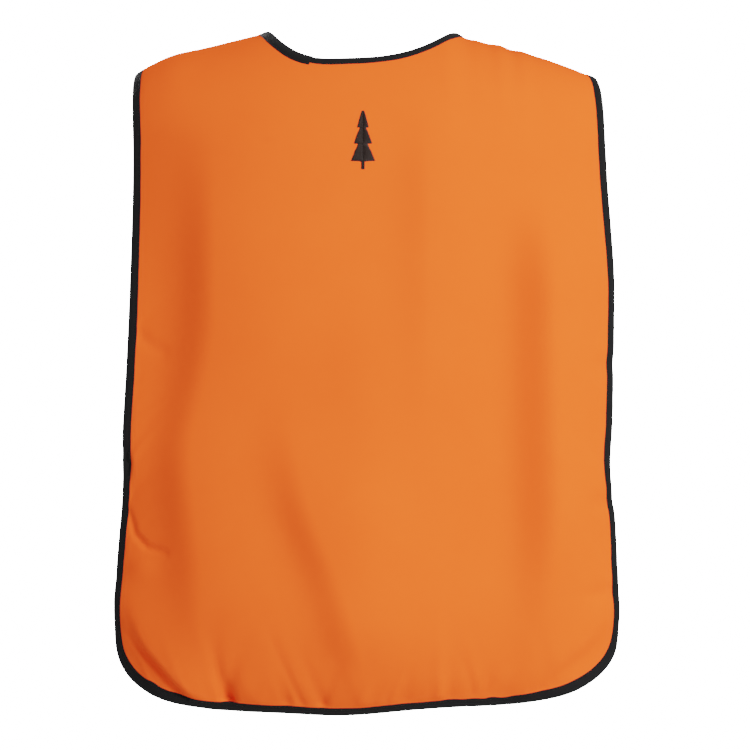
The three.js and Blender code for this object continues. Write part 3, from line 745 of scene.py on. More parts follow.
def make_back():
    panel, cut, middle = make_panel("back_cloth", BACK, (LEFT, RIGHT), 0, 96, 230, "back", "back_panel")
    edge = Track(BACK, rim(cut), middle)
    pieces = bind("back_edge_tape", "back_edge_stitches", edge, "back", "back_edge_binding", (3, 8))
    spans = [("back_neck_lap", NECK_POINT[LEFT], NECK_JOIN, LEFT, (13, 17)),
             ("back_neck_tape", NECK_JOIN - NECK_OVERLAP, NECK_POINT[RIGHT], RIGHT, (14, 18))]
    for name, from_x, to_x, hand, seeds in spans:
        neck = neck_track(BACK, from_x, to_x, middle)
        pieces += bind(name, f"{name}_stitches", neck, "back", "back_neck_binding", seeds,
                       cut=NECK_TAPES[hand])
    for hand in (LEFT, RIGHT):
        line = seam_line(BACK, hand, NECK_HALF + 4 * MM, SHOULDER_HALF - 6 * MM, 5 * MM, 0.35 * MM)
        name = f"{NAMES[hand]}_shoulder_stitches"
        stitches = [stitch_line(*line, seed=41 + hand)]
        pieces.append(sew(name, stitches, "orange_thread", "back", FINE_THREAD))


def make_front(hand):
    name = NAMES[hand]
    body, bend = f"{name}_front", seam_ends(hand)
    panel, cut, middle = make_panel(f"{name}_cloth", FRONT, (hand,), ZIP_EDGE, 96, 210, body,
                                    f"{name}_front_panel", bend)
    edge = Track(FRONT, front_rim(cut), middle)
    pieces = bind(f"{name}_edge_tape", f"{name}_edge_stitches", edge, body,
                  f"{name}_front_edge_binding", (23 + hand, 28 + hand), bend)
    neck = neck_track(FRONT, NECK_POINT[hand], hand * (ZIP_EDGE + 0.3 * MM), middle)
    pieces += bind(f"{name}_neck_tape", f"{name}_neck_stitches", neck, body,
                   f"{name}_front_neck_binding", (33 + hand, 38 + hand), bend, NECK_TAPES[hand])
    rows = patch_outline(hand)
    for k, inset in enumerate((2.4 * MM, 8 * MM)):
        rows.insert(k, stitch_line(*placket_line(hand, ZIP_EDGE + inset), seed=51 + k))
    pieces.append(sew(f"{name}_front_stitches", rows, "orange_thread", body, FINE_THREAD))


def placket_line(hand, x):
    """A line down the front beside the zip."""
    across = np.full(300, hand * x)
    top = along_to(FRONT, across[:1], np.array([-FRONT_NECK_DROP - 12 * MM]))[0]
    foot = along_to(FRONT, across[:1], np.array([HEM + 14 * MM]))[0]
    points, normals = drape(FRONT, across, np.linspace(top, foot, 300))
    down = unit(np.gradient(points, axis=0))
    return points + normals * THREAD_REST, np.cross(normals, down), normals


PATCH_OUTER, PATCH_INNER = 16 * MM, 96 * MM  # the loop patch, from the side edge
PATCH_TALL = 40 * MM
PATCH_STITCH_IN = 2.2 * MM


def edge_at_waist(side, hand):
    return half_width(side, hand, np.full(1, WAIST_ALONG))[0]


def patch_outline(hand):
    """Stitches round the loop patch that show on the front's face."""
    edge = edge_at_waist(FRONT, hand)
    x0, x1 = edge - PATCH_OUTER - PATCH_STITCH_IN, edge - PATCH_INNER + PATCH_STITCH_IN
    half = PATCH_TALL / 2 - PATCH_STITCH_IN
    corners = [(x0, -half), (x1, -half), (x1, half), (x0, half), (x0, -half)]
    lines = []
    for k, ((xa, za), (xb, zb)) in enumerate(zip(corners, corners[1:])):
        x = hand * np.linspace(xa, xb, 40)
        points, normals = drape(FRONT, x, along_to(FRONT, x, WAIST + np.linspace(za, zb, 40)))
        across = np.cross(normals, unit(np.gradient(points, axis=0)))
        lines.append(stitch_line(points + normals * THREAD_REST, across, normals, 61 + k))
    return lines


# ---- Emblem: a plain conifer in satin stitch, in mm ----
EMBLEM_TOP, EMBLEM_X = -88 * MM, -3 * MM
CONIFER = [(1.4, 0), (4, 8), (6.4, 16), (3.6, 16.4), (6.8, 23.5), (9.8, 31), (5.6, 31.4), (9.4, 39),
           (13, 47.5), (1.9, 47.9), (1.9, 56)]  # half widths and how far down
TIER_ENDS = (16.2, 31.2, 47.7, 56)
TIER_LEAN, TRUNK_LEAN = 0.62, 0.15  # how steeply the stitches run down from the middle
STITCH_ROW = 0.40


def half_conifer(down):
    widths, downs = np.array(CONIFER, float).T
    return np.interp(down, downs, widths)


def on_back(x, down, lift):
    """Places on the back's face, from mm across and down from the emblem's top, with their normals."""
    start = along_to(BACK, np.zeros(1), np.full(1, EMBLEM_TOP))[0]
    points, normals = drape(BACK, np.asarray(x, float) * MM + EMBLEM_X, np.asarray(down, float) * MM + start)
    return points + normals * (CLOTH / 2 + lift), normals


def satin_reach(down, lean, tier_end):
    """How far out a satin stitch gets before it leaves the outline or the tier."""
    reach = 0.0
    while reach < 15 and reach < half_conifer(down + lean * reach) and down + lean * reach < tier_end:
        reach += 0.15
    return reach - 0.1


def make_emblem():
    dice = random.Random(77)
    starts, ends, outs = [], [], []
    for hand in (LEFT, RIGHT):
        down = 0.3
        while down < TIER_ENDS[-1]:
            tier_end = min(end for end in TIER_ENDS if end > down - 0.01)
            lean = TRUNK_LEAN if down > TIER_ENDS[-2] else TIER_LEAN
            reach = max(0.5, satin_reach(down, lean, tier_end) + dice.uniform(-0.15, 0.15))
            (a, b), normals = on_back([-0.15 * hand, hand * reach], [down, down + lean * reach], 0.15 * MM)
            starts.append(a)
            ends.append(b)
            outs.append(normals[0])
            down += STITCH_ROW
    satin = rods("conifer_satin", starts, ends, outs, 0.27 * MM, steps=6)
    finish_piece(satin, "embroidery", "back", ["back_emblem"])
    rows = np.linspace(0, TIER_ENDS[-1], 90)
    x = half_conifer(rows)[:, None] * np.linspace(-1, 1, 9) * 0.93
    down = np.broadcast_to(rows[:, None], x.shape)
    top, base = (on_back(x, down, lift)[0] for lift in (0.16 * MM, -0.1 * MM))
    underlay = closed_sheet("conifer_underlay", top, base)
    finish_piece(underlay, "embroidery", "back")


# ---- Zip ----
TOOTH_PITCH = 5 * MM


def make_zip_half(hand):
    name, body = NAMES[hand], f"{NAMES[hand]}_front"
    lo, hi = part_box(f"{name}_zip_tape")
    inner, outer = sorted((abs(lo.x), abs(hi.x)))
    y, half = (lo.y + hi.y) / 2, (hi.y - lo.y) / 2
    x, z = np.meshgrid(np.linspace(inner, outer, 16), np.linspace(hi.z, lo.z, 240))
    bead = 0.55 * MM * bell((x - inner - 0.7 * MM) / (0.7 * MM))
    wave = 0.12 * MM * np.sin(z / (9 * MM)) * ease((x - inner) / (8 * MM))
    faces = [np.stack([hand * x, y + sign * (half + bead) + wave, z], -1) for sign in (1, -1)]
    tape = closed_sheet(f"{name}_zip_cloth", *faces, np.stack([x, z], -1))
    finish_piece(tape, "zip_cloth", body, [f"{name}_zip_tape"])

    lo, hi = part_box(f"{name}_zip_teeth")
    tip, root = sorted((abs(lo.x), abs(hi.x)))
    count = int((hi.z - lo.z) / TOOTH_PITCH)
    middles = [Vector((hand * (tip + root) / 2, y, hi.z - (i + 0.3) * TOOTH_PITCH)) for i in range(count)]
    teeth = copies(f"{name}_zip_elements", tooth(hand, root - tip, hi.y - lo.y), middles)
    finish_piece(teeth, "resin", body, [f"{name}_zip_teeth"])
    soften(f"{name}_top_stop", "enamel", body, 0.35 * MM)


def tooth(hand, reach, thick):
    """One moulded zip element: a foot that grips the bead, a neck and a wider head. (points, faces)"""
    half = [(-0.5, 1.25), (0.05, 1.25), (0.2, 0.75), (0.32, 0.72), (0.42, 1.15), (0.5, 0.9)]
    outline = half + [(s, -t) for s, t in reversed(half)]
    points = []
    for height, grow in ((-0.5, 0.86), (-0.36, 1.0), (0.36, 1.0), (0.5, 0.86)):
        points += [(-hand * s * reach * mix(1, grow, 0.5), height * thick, t * MM * grow) for s, t in outline]
    around = len(outline)
    faces = grid_faces(4, around, wrap=True)
    return points, faces + [tuple(reversed(range(around))), tuple(3 * around + c for c in range(around))]


def copies(name, template, places):
    """One piece made of copies of a template at several places."""
    points, faces = template
    all_points = [list(Vector(p) + place) for place in places for p in points]
    all_faces = [tuple(i + n * len(points) for i in face) for n in range(len(places)) for face in faces]
    piece = turned_out(add_mesh(name, all_points, all_faces))
    shade_by_angle(piece, 38)
    return piece


def shade_by_angle(piece, degrees):
    mesh = piece.data
    edges = bmesh.new()
    edges.from_mesh(mesh)
    for edge in edges.edges:
        edge.smooth = len(edge.link_faces) == 2 and edge.calc_face_angle(0) < math.radians(degrees)
    edges.to_mesh(mesh)
    edges.free()


def soften(node, look, body, bevel):
    """A copy of a CAD node with its edges rounded, standing for it."""
    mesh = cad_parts[node].data.copy()
    piece = add_object(f"{node}_moulding", mesh)
    build = bmesh.new()
    build.from_mesh(mesh)
    bmesh.ops.remove_doubles(build, verts=build.verts, dist=0.01 * MM)
    bmesh.ops.dissolve_limit(build, angle_limit=math.radians(4), verts=build.verts, edges=build.edges)
    sharp = [e for e in build.edges if e.calc_face_angle(0) > math.radians(25)]
    bmesh.ops.bevel(build, geom=sharp, offset=bevel, segments=3, profile=0.5, affect="EDGES",
                    clamp_overlap=True)
    for face in build.faces:
        face.smooth = True
    build.to_mesh(mesh)
    build.free()
    shade_by_angle(piece, 35)
    finish_piece(piece, look, body, [node])


def make_zip():
    for hand in (LEFT, RIGHT):
        make_zip_half(hand)
    soften("insertion_pin", "resin", "left_front", 0.5 * MM)
    soften("retainer_box", "resin", "right_front", 0.5 * MM)
    soften("zip_slider", "enamel", "slider", 0.4 * MM)
    soften("zip_pull_tab", "enamel", "pull_tab", 0.45 * MM)


# ---- Straps, patches, tapes, loop and labels ----
def lining_line(side, hand, from_x, to_x, depth, count):
    """Points inside a panel at the waist, depth behind the cloth's middle."""
    x = hand * np.linspace(from_x, to_x, count)
    points, normals = drape(side, x, along_to(side, x, np.full(count, WAIST)))
    points = points - normals * depth
    points[:, 2] = WAIST
    return points


def through(points, spacing):
    """A smooth path through a few points."""
    points = np.asarray(points, float)
    steps = np.concatenate([[0], np.cumsum(np.linalg.norm(np.diff(points, axis=0), axis=1))])
    fine = np.linspace(0, steps[-1], 400)
    path = np.stack([smooth(list(zip(steps, column)), fine) for column in points.T], -1)
    return resample(path, spacing)[0]


def ribbon(name, path, thick, tall, ribs, rib_height):
    """A standing band along a level path, with lengthwise ribs on both faces."""
    tangents = unit(np.gradient(path, axis=0))
    ups = np.broadcast_to([0.0, 0.0, 1.0], path.shape)
    sides = unit(np.cross(tangents, ups))
    steps = np.linspace(-1, 1, ribs * 4 + 1)
    edge = np.sqrt(np.clip(1 - np.abs(steps) ** 24, 0.02, 1))
    face = (thick / 2 + rib_height * np.cos(steps * math.pi * ribs)) * edge
    section = [(f, s * tall / 2) for f, s in zip(face, steps)]
    section += [(-f, s * tall / 2) for f, s in zip(face[::-1], steps[::-1])]
    return sweep(name, path, sides, ups, section)


STRAP_PIVOT = Vector((247.3, -43.9)) * MM  # where a strap comes out from under the back's binding
STRAP_BEND = 10 * MM  # either side of it along y, where the strap bends


def make_strap(hand):
    name = NAMES[hand]
    edge = edge_at_waist(BACK, hand)
    tall = strap_hi.z - strap_lo.z
    inside_back = lining_line(BACK, hand, edge - 14 * MM, edge - 3.5 * MM, 4.6 * MM, 3)
    crossing = [[hand * (edge - 8 * MM + 1.2 * MM * math.cos(y * 40)), y, WAIST] for y in (-0.022, 0, 0.022)]
    inside_front = lining_line(FRONT, hand, edge - 13 * MM, edge - 66 * MM, 4.4 * MM, 6)
    path = through(np.concatenate([inside_back[1:], crossing, inside_front]), 1.2 * MM)
    strap = ribbon(f"{name}_elastic", path, 1.1 * MM, tall, 22, 0.16 * MM)
    pivot = Vector((hand * STRAP_PIVOT.x, STRAP_PIVOT.y, WAIST))
    bend = pivot - Vector((0, STRAP_BEND, 0)), pivot + Vector((0, STRAP_BEND, 0))
    finish_piece(strap, "elastic", f"{name}_strap", [f"{name}_side_strap"], bend)
    hook = lining_line(FRONT, hand, edge - 20 * MM, edge - 64 * MM, 3.05 * MM, 60)
    hooks = ribbon(f"{name}_hook_pad", hook, 1.2 * MM, tall - 4 * MM, 24, 0.12 * MM)
    finish_piece(hooks, "hook", f"{name}_strap", [f"{name}_hook_patch"])
    loop = lining_line(FRONT, hand, edge - PATCH_OUTER, edge - PATCH_INNER, 1.3 * MM, 90)
    pile = ribbon(f"{name}_loop_pad", loop, 1.5 * MM, PATCH_TALL, 20, 0.08 * MM)
    finish_piece(pile, "pile", f"{name}_front", [f"{name}_loop_patch"])


def make_shoulder_tape(hand):
    """Stay tape inside a shoulder seam."""
    x = hand * np.linspace(NECK_HALF + 14 * MM, SHOULDER_HALF - 14 * MM, 80)
    across = np.linspace(-5 * MM, 5 * MM, 9)
    rows = []
    for offset in across:
        side = BACK if offset < 0 else FRONT
        points, normals = drape(side, x, np.full(80, max(abs(offset), 0.3 * MM)))
        rows.append(points - normals * 1.2 * MM)
    middle = np.array(rows)
    up = np.array([0, 0, 0.35 * MM])
    cut = np.stack(np.meshgrid(np.abs(x), across), -1)
    tape = closed_sheet(f"{NAMES[hand]}_stay_tape", middle + up, middle - up, cut)
    finish_piece(tape, "tape", "back", [f"{NAMES[hand]}_shoulder_tape"])


def loop_section(wide, thick):
    """A flat tape's rounded section, a little grooved down its middle."""
    section = []
    for k in range(28):
        turn = 2 * math.pi * k / 28
        s, h = math.cos(turn), math.sin(turn)
        across = math.copysign(abs(s) ** 0.35, s)
        groove = 1 - 0.35 * bell(abs(across) / 0.16)
        section.append((wide / 2 * across, thick / 2 * math.copysign(abs(h) ** 0.6, h) * groove))
    return section


def make_hang_loop():
    lo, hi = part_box("hang_loop")
    wide, straight = 7 * MM, 8 * MM
    radius = hi.x - wide / 2
    y = (lo.y + hi.y) / 2
    angle = np.linspace(0, -math.pi, 60)
    bow = np.stack([radius * np.cos(angle), np.full(60, y), hi.z - straight + radius * np.sin(angle)], -1)
    path = resample(np.concatenate([[[radius, y, hi.z]], bow, [[-radius, y, hi.z]]]), 1.0 * MM)[0]
    front = np.broadcast_to([0.0, 1.0, 0.0], path.shape)
    sides = unit(np.cross(unit(np.gradient(path, axis=0)), front))
    loop = sweep("hang_loop_tape", path, sides, front, loop_section(wide, 1.5 * MM))
    finish_piece(loop, "tape", "loop", ["hang_loop"])
    lines = [stitch_line(path + front * face * 0.45 * MM, sides, front * face, 71 + face) for face in (1, -1)]
    sew("hang_loop_stitches", lines, "thread", "loop", FINE_THREAD)


def label_sheet(name, middle, across, thick, cut, body, node, bend=None):
    """A satin label: a closed sheet about a grid of middle points."""
    piece = closed_sheet(name, middle + across * thick / 2, middle - across * thick / 2, cut)
    return finish_piece(piece, "label", body, [node], bend)


def make_neck_label():
    lo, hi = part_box("neck_label")
    seam_y, tall = (lo.y + hi.y) / 2, hi.z - lo.z
    x, z = np.meshgrid(np.linspace(lo.x, hi.x, 40), np.linspace(hi.z, lo.z, 32))
    share = (hi.z - z) / tall
    y = seam_y + 0.9 * MM * share**2 + 0.35 * MM * np.cos(x / (5.2 * MM)) * share
    hem = 0.12 * bell((np.abs(x) - hi.x + 1.6 * MM) / (0.5 * MM))
    middle = np.stack([x, y, z], -1)
    across = np.stack([np.zeros_like(x), 1 - hem, np.zeros_like(x)], -1)
    cut = np.stack([x - lo.x, hi.z - z], -1)
    label = label_sheet("neck_label_satin", middle, across, 0.5 * MM, cut, "size_label", "neck_label")
    top = np.linspace((lo.x + 1 * MM, seam_y, hi.z - 2.2 * MM), (hi.x - 1 * MM, seam_y, hi.z - 2.2 * MM), 60)
    out, up = (np.broadcast_to(way, top.shape) for way in ([0.0, 1.0, 0.0], [0.0, 0.0, 1.0]))
    lines = [stitch_line(top + out * 0.25 * MM, up, out, 91, 2.2 * MM, 1.6 * MM)]
    thread = sew("neck_label_stitches", lines, "thread", "size_label", 0.14 * MM)


def make_care_label():
    lo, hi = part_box("care_label")
    wide, tall = 45 * MM, hi.z - lo.z
    share, down = np.meshgrid(np.linspace(0, 1, 44), np.linspace(0, 1, 34))
    x = lo.x + share * wide
    points, normals = drape(BACK, x, along_to(BACK, x, hi.z - down * tall))
    lift = 2.3 * MM + 2.2 * MM * share**2 + 0.5 * MM * np.sin(down * 5 + 1) * share
    middle = points - normals * lift[..., None]
    cut = np.stack([share * wide, down * tall], -1)
    bend = Vector(middle[17, 0]), Vector(middle[17, 9])  # halfway down, from the seam inwards
    label = label_sheet("care_label_satin", middle, normals, 0.4 * MM, cut, "wash_label", "care_label", bend)


# ---- Materials ----
class Surface:
    """A Principled material, with short calls that add and join its nodes."""

    def __init__(self, name, colour, roughness, **sockets):
        self.material = bpy.data.materials.new(name)
        self.material.use_nodes = True
        self.tree = self.material.node_tree
        self.shader = self.tree.nodes["Principled BSDF"]
        self.shader.inputs["Base Color"].default_value = colour
        self.shader.inputs["Roughness"].default_value = roughness
        for socket, value in sockets.items():
            self.shader.inputs[socket.replace("_", " ")].default_value = value
        self.material.diffuse_color = colour

    def put(self, kind, **inputs):
        """Adds a node. An input given as a socket is joined, and any other value is set."""
        node = self.tree.nodes.new(f"ShaderNode{kind}")
        for key, value in inputs.items():
            if not key.startswith("in_"):
                setattr(node, key, value)
        for key, value in inputs.items():
            if key.startswith("in_"):
                self.give(node.inputs[int(key[3:])], value)
        return node

    def give(self, socket, value):
        if isinstance(value, bpy.types.NodeSocket):
            self.tree.links.new(value, socket)
        else:
            socket.default_value = value

    def math(self, operation, a, b=0.0, c=0.0):
        return self.put("Math", operation=operation, in_0=a, in_1=b, in_2=c).outputs[0]

    def place(self, kind="Object"):
        return self.put("TexCoord").outputs[kind]

    def coordinates(self):
        """The place on the cut, and its distances across and along."""
        place = self.place("UV")
        parts = self.put("SeparateXYZ", in_0=place)
        return place, parts.outputs[0], parts.outputs[1]

    def blend(self, a, a_share, b, b_share):
        return self.math("MULTIPLY_ADD", a, a_share, self.math("MULTIPLY", b, b_share))

    def wave(self, value, pitch, phase=0.0):
        """A ripple from 0 to 1 with this pitch."""
        turned = self.math("MULTIPLY_ADD", value, 2 * math.pi / pitch, phase)
        return self.math("MULTIPLY_ADD", self.math("SINE", turned), 0.5, 0.5)

    def noise(self, place, scale, detail=3.0, roughness=0.55):
        node = self.put("TexNoise", in_0=place)
        node.inputs["Scale"].default_value = scale
        node.inputs["Detail"].default_value = detail
        node.inputs["Roughness"].default_value = roughness
        return node.outputs["Fac"]

    def tint(self, factor, low, high):
        """Base colour from low to high as factor goes from 0 to 1."""
        blend = self.put("Mix", data_type="RGBA")
        self.give(blend.inputs["Factor"], factor)
        self.give(blend.inputs[6], low)
        self.give(blend.inputs[7], high)
        self.give(self.shader.inputs["Base Color"], blend.outputs[2])

    def bump(self, height, distance, strength=1.0):
        node = self.put("Bump")
        node.inputs["Strength"].default_value = strength
        node.inputs["Distance"].default_value = distance
        self.give(node.inputs["Height"], height)
        self.give(self.shader.inputs["Normal"], node.outputs[0])

    def rough(self, factor, low, high):
        self.give(self.shader.inputs["Roughness"], self.math("MULTIPLY_ADD", factor, high - low, low))


def tricot(name, colour, low, high, fuzz):
    """Warp-knit polyester: fine wales down the cloth, a faint sheen and slight unevenness of dye."""
    s = Surface(name, colour, 0.62, Sheen_Weight=0.02, Sheen_Roughness=0.4, Sheen_Tint=(1, 0.16, 0.03, 1),
                Specular_IOR_Level=0.0)
    place, across, down = s.coordinates()
    wale = s.wave(across, 0.95 * MM)
    course = s.wave(s.math("MULTIPLY_ADD", wale, 0.3 * MM, down), 1.25 * MM)
    loops = s.blend(s.math("POWER", wale, 0.6), 0.7, course, 0.3)
    fibres = s.noise(place, 2600, 2)
    clouds = s.noise(place, 14, 4)
    s.bump(s.blend(loops, 0.8, fibres, fuzz), 0.09 * MM, 0.75)
    s.tint(s.blend(fibres, 0.2, s.blend(loops, 0.35, clouds, 0.75), 0.8), low, high)
    s.rough(fibres, 0.52, 0.72)
    return s.material


def grosgrain():
    """Black woven binding tape: ribs across its length, with worn, slightly greyer crowns."""
    s = Surface("black_tape", INK, 0.8, Sheen_Weight=0.012, Sheen_Roughness=0.5, Specular_IOR_Level=0.06)
    place, across, along = s.coordinates()
    weave = s.blend(s.wave(along, 0.75 * MM), 0.6, s.wave(across, 0.45 * MM, 1.0), 0.4)
    fuzz = s.noise(place, 1800, 2)
    s.bump(s.math("MULTIPLY_ADD", fuzz, 0.4, weave), 0.12 * MM, 0.8)
    s.tint(s.blend(fuzz, 0.4, weave, 0.6), DARK_INK, WORN_INK)
    s.rough(fuzz, 0.7, 0.9)
    return s.material


def twisted_thread(name, low, high, pitch=0.35 * MM):
    """Sewing thread: a diagonal twist along every stitch."""
    s = Surface(name, high, 0.55, Sheen_Weight=0.02, Sheen_Roughness=0.4, Specular_IOR_Level=0.12)
    place = s.place()
    parts = s.put("SeparateXYZ", in_0=place)
    slant = s.math("ADD", s.math("ADD", parts.outputs[0], parts.outputs[1]), parts.outputs[2])
    twist = s.wave(slant, pitch)
    s.bump(twist, 0.05 * MM, 0.6)
    s.tint(twist, low, high)
    s.rough(s.noise(place, 900), 0.42, 0.62)
    return s.material


def herringbone():
    """Zip tape: a fine herringbone twill."""
    s = Surface("zip_twill", INK, 0.85, Sheen_Weight=0.012, Specular_IOR_Level=0.08)
    place, across, down = s.coordinates()
    zigzag = s.math("PINGPONG", across, 2.2 * MM)
    twill = s.wave(s.math("ADD", down, zigzag), 0.8 * MM)
    fuzz = s.noise(place, 2200, 2)
    s.bump(s.math("MULTIPLY_ADD", fuzz, 0.4, twill), 0.1 * MM, 0.8)
    s.tint(s.blend(twill, 0.6, fuzz, 0.4), DARK_INK, WORN_INK)
    s.rough(fuzz, 0.72, 0.92)
    return s.material


def moulded_resin():
    s = Surface("moulded_resin", INK, 0.38, Specular_IOR_Level=0.3)
    place = s.place()
    grain = s.noise(place, 1500, 3)
    s.bump(grain, 0.02 * MM, 0.5)
    s.tint(s.noise(place, 120), DARK_INK, WORN_INK)
    s.rough(grain, 0.3, 0.46)
    return s.material


def black_enamel():
    """Baked enamel over zinc, rubbed a little thin in patches."""
    s = Surface("black_enamel", INK, 0.3, Coat_Weight=0.2, Coat_Roughness=0.2, Metallic=0.35)
    place = s.place()
    wear = s.put("ValToRGB", in_0=s.noise(place, 420, 5, 0.65))
    wear.color_ramp.elements[0].position = 0.58
    wear.color_ramp.elements[1].position = 0.74
    s.tint(wear.outputs[0], INK, (0.05, 0.05, 0.048, 1))
    s.bump(s.noise(place, 900, 4), 0.015 * MM, 0.5)
    s.rough(s.noise(place, 260, 4), 0.22, 0.42)
    return s.material


def knitted_elastic():
    s = Surface("knitted_elastic", INK, 0.85, Sheen_Weight=0.015, Sheen_Roughness=0.5,
                Specular_IOR_Level=0.08)
    place, across, along = s.coordinates()
    picks = s.wave(along, 0.9 * MM)
    ribs = s.wave(across, 1.7 * MM)
    fuzz = s.noise(place, 1700, 2)
    knit = s.math("MULTIPLY", picks, s.math("MULTIPLY_ADD", ribs, 0.7, 0.3))
    s.bump(s.math("MULTIPLY_ADD", fuzz, 0.5, knit), 0.16 * MM, 0.8)
    s.tint(s.blend(picks, 0.5, fuzz, 0.5), DARK_INK, ELASTIC_HIGH)
    s.rough(fuzz, 0.74, 0.94)
    return s.material


def fastener(name, scale, low, high, depth):
    """Hook or loop tape: dense tiny hooks, or matted pile."""
    s = Surface(name, high, 0.9, Sheen_Weight=0.03, Sheen_Roughness=0.6, Specular_IOR_Level=0.08)
    place = s.place("UV")
    cells = s.put("TexVoronoi", in_0=place)
    cells.inputs["Scale"].default_value = scale
    fuzz = s.noise(place, scale * 2.5, 4)
    s.bump(s.math("MULTIPLY_ADD", fuzz, 0.5, s.math("SUBTRACT", 1.0, cells.outputs["Distance"])), depth, 0.9)
    s.tint(fuzz, low, high)
    s.rough(fuzz, 0.8, 0.98)
    return s.material


def label_satin():
    """Woven satin: fine lengthwise floats and no lettering."""
    s = Surface("label_satin", (0.60, 0.57, 0.52, 1), 0.42, Sheen_Weight=0.1, Sheen_Roughness=0.3,
                Specular_IOR_Level=0.3)
    place, across, down = s.coordinates()
    weave = s.blend(s.wave(across, 0.28 * MM), 0.6, s.wave(down, 0.6 * MM), 0.4)
    fuzz = s.noise(place, 1400, 3)
    s.bump(weave, 0.05 * MM, 0.7)
    s.tint(s.blend(weave, 0.5, fuzz, 0.5), LABEL_LOW, LABEL_HIGH)
    s.rough(fuzz, 0.34, 0.56)
    return s.material


INK = (0.0036, 0.0035, 0.0037, 1)
DARK_INK = (0.0020, 0.0019, 0.0021, 1)
WORN_INK = (0.0058, 0.0056, 0.0060, 1)
ORANGE = (0.88, 0.068, 0.0125, 1)
ORANGE_LOW = (0.84, 0.062, 0.0112, 1)
ORANGE_HIGH = (0.92, 0.074, 0.0138, 1)
# The inside's colours are partly the knit's paler back face and partly a painted glow. Lighter and yellower
# than the face, the glow stands in for light shining through the thin cloth.
LINING_AND_PAINTED_GLOW = (0.82, 0.118, 0.026, 1)
LINING_AND_GLOW_LOW = (0.78, 0.108, 0.023, 1)
LINING_AND_GLOW_HIGH = (0.86, 0.128, 0.029, 1)
THREAD_LOW = (0.72, 0.048, 0.006, 1)
THREAD_HIGH = (0.95, 0.090, 0.016, 1)
SATIN_LOW = (0.0035, 0.0018, 0.0014, 1)
SATIN_HIGH = (0.012, 0.006, 0.0045, 1)
ELASTIC_HIGH = (0.0095, 0.0093, 0.0100, 1)
PILE_HIGH = (0.0120, 0.0118, 0.0125, 1)
LABEL_LOW = (0.50, 0.47, 0.42, 1)
LABEL_HIGH = (0.68, 0.65, 0.60, 1)


def make_looks():
    return {
        "orange": tricot("orange_tricot", ORANGE, ORANGE_LOW, ORANGE_HIGH, 0.35),
        # The inside faces: the knit's back face with a painted glow of light through the cloth.
        "lining": tricot("tricot_back_face_and_painted_glow", LINING_AND_PAINTED_GLOW, LINING_AND_GLOW_LOW, LINING_AND_GLOW_HIGH, 0.7),
        "tape": grosgrain(),
        "thread": twisted_thread("black_sewing_thread", DARK_INK, WORN_INK),
        "orange_thread": twisted_thread("orange_sewing_thread", THREAD_LOW, THREAD_HIGH),
        "embroidery": twisted_thread("embroidery_thread", SATIN_LOW, SATIN_HIGH, 0.5 * MM),
        "zip_cloth": herringbone(),
        "resin": moulded_resin(),
        "enamel": black_enamel(),
        "elastic": knitted_elastic(),
        "hook": fastener("hook_tape", 900, DARK_INK, WORN_INK, 0.35 * MM),
        "pile": fastener("pile_tape", 600, DARK_INK, PILE_HIGH, 0.3 * MM),
        "label": label_satin(),
    }


# ---- Stage, lights and camera ----
PAPER_WHITE = 16  # bright enough to show as pure white behind the vest
AMBIENT = 0.62
SKY_SHARE = 0.45  # how much brighter the surroundings are overhead than at eye level
KEY = 590
FLOOR, FLOOR_RADIUS = -1.4, 3.9


def soft_light(name, place, target, side, power):
    """A square soft light."""
    data = bpy.data.lights.new(name, "AREA")
    data.size = side
    data.energy = power
    light = add_object(name, data)
    light.location = place
    light.rotation_euler = (Vector(target) - Vector(place)).to_track_quat("-Z", "Y").to_euler()


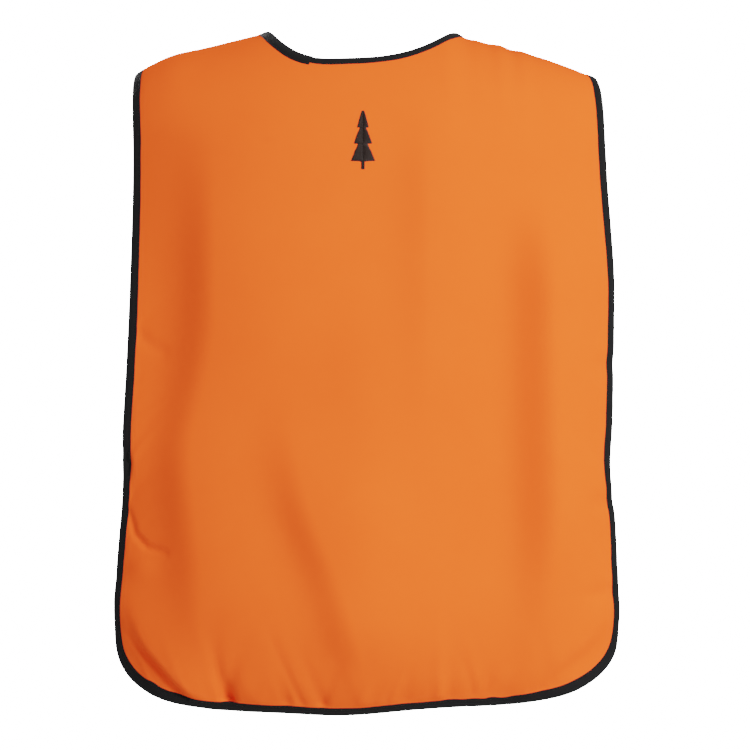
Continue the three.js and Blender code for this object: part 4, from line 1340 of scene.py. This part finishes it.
def make_world():
    """Soft light from all round, brighter overhead, with pure white for the camera to see."""
    world = bpy.data.worlds.new("studio")
    bpy.context.scene.world = world
    world.use_nodes = True
    nodes, links = world.node_tree.nodes, world.node_tree.links
    glow = nodes["Background"]
    glow.inputs["Color"].default_value = (1, 1, 1, 1)
    place, split = nodes.new("ShaderNodeTexCoord"), nodes.new("ShaderNodeSeparateXYZ")
    from_above = nodes.new("ShaderNodeMath")
    from_above.operation = "MULTIPLY_ADD"
    from_above.inputs[1].default_value = AMBIENT * SKY_SHARE
    from_above.inputs[2].default_value = AMBIENT
    links.new(place.outputs["Generated"], split.inputs[0])
    links.new(split.outputs[2], from_above.inputs[0])
    links.new(from_above.outputs[0], glow.inputs["Strength"])
    seen = nodes.new("ShaderNodeBackground")
    seen.inputs["Color"].default_value = (1, 1, 1, 1)
    seen.inputs["Strength"].default_value = PAPER_WHITE
    rays, choice = nodes.new("ShaderNodeLightPath"), nodes.new("ShaderNodeMixShader")
    links.new(rays.outputs["Is Camera Ray"], choice.inputs[0])
    links.new(glow.outputs[0], choice.inputs[1])
    links.new(seen.outputs[0], choice.inputs[2])
    links.new(choice.outputs[0], nodes["World Output"].inputs[0])


def make_stage():
    ring = 96
    turns = [2 * math.pi * k / ring for k in range(ring)]
    points = [[FLOOR_RADIUS * math.cos(turn), FLOOR_RADIUS * math.sin(turn), FLOOR] for turn in turns]
    floor = add_mesh("studio_floor", points, [tuple(range(ring))])
    pale = Surface("pale_floor", (0.45, 0.45, 0.45, 1), 0.7)
    pale.tint(pale.noise(pale.place(), 3), (0.43, 0.43, 0.43, 1), (0.47, 0.47, 0.47, 1))
    floor.data.materials.append(pale.material)
    soft_light("key", (3.0, -3.9, 1.15), (0, 0, -0.28), 2.0, KEY)
    soft_light("far_side", (-3.3, 3.8, 0.9), (0, 0, -0.38), 2.4, KEY * 0.8)


def make_camera():
    lens = bpy.data.cameras.new("camera")
    lens.lens = 140
    lens.sensor_width = 36
    camera = add_object("camera", lens)
    camera.location = (9.5 * MM, -3.126, -0.3615)
    camera.rotation_euler = (math.radians(90), 0, 0)
    bpy.context.scene.camera = camera
    bpy.context.scene.view_settings.view_transform = "Filmic"


make_camera()
make_world()
make_stage()
looks = make_looks()
make_back()
make_emblem()
for hand in (LEFT, RIGHT):
    make_front(hand)
    make_strap(hand)
    make_shoulder_tape(hand)
make_zip()
make_hang_loop()
make_neck_label()
make_care_label()
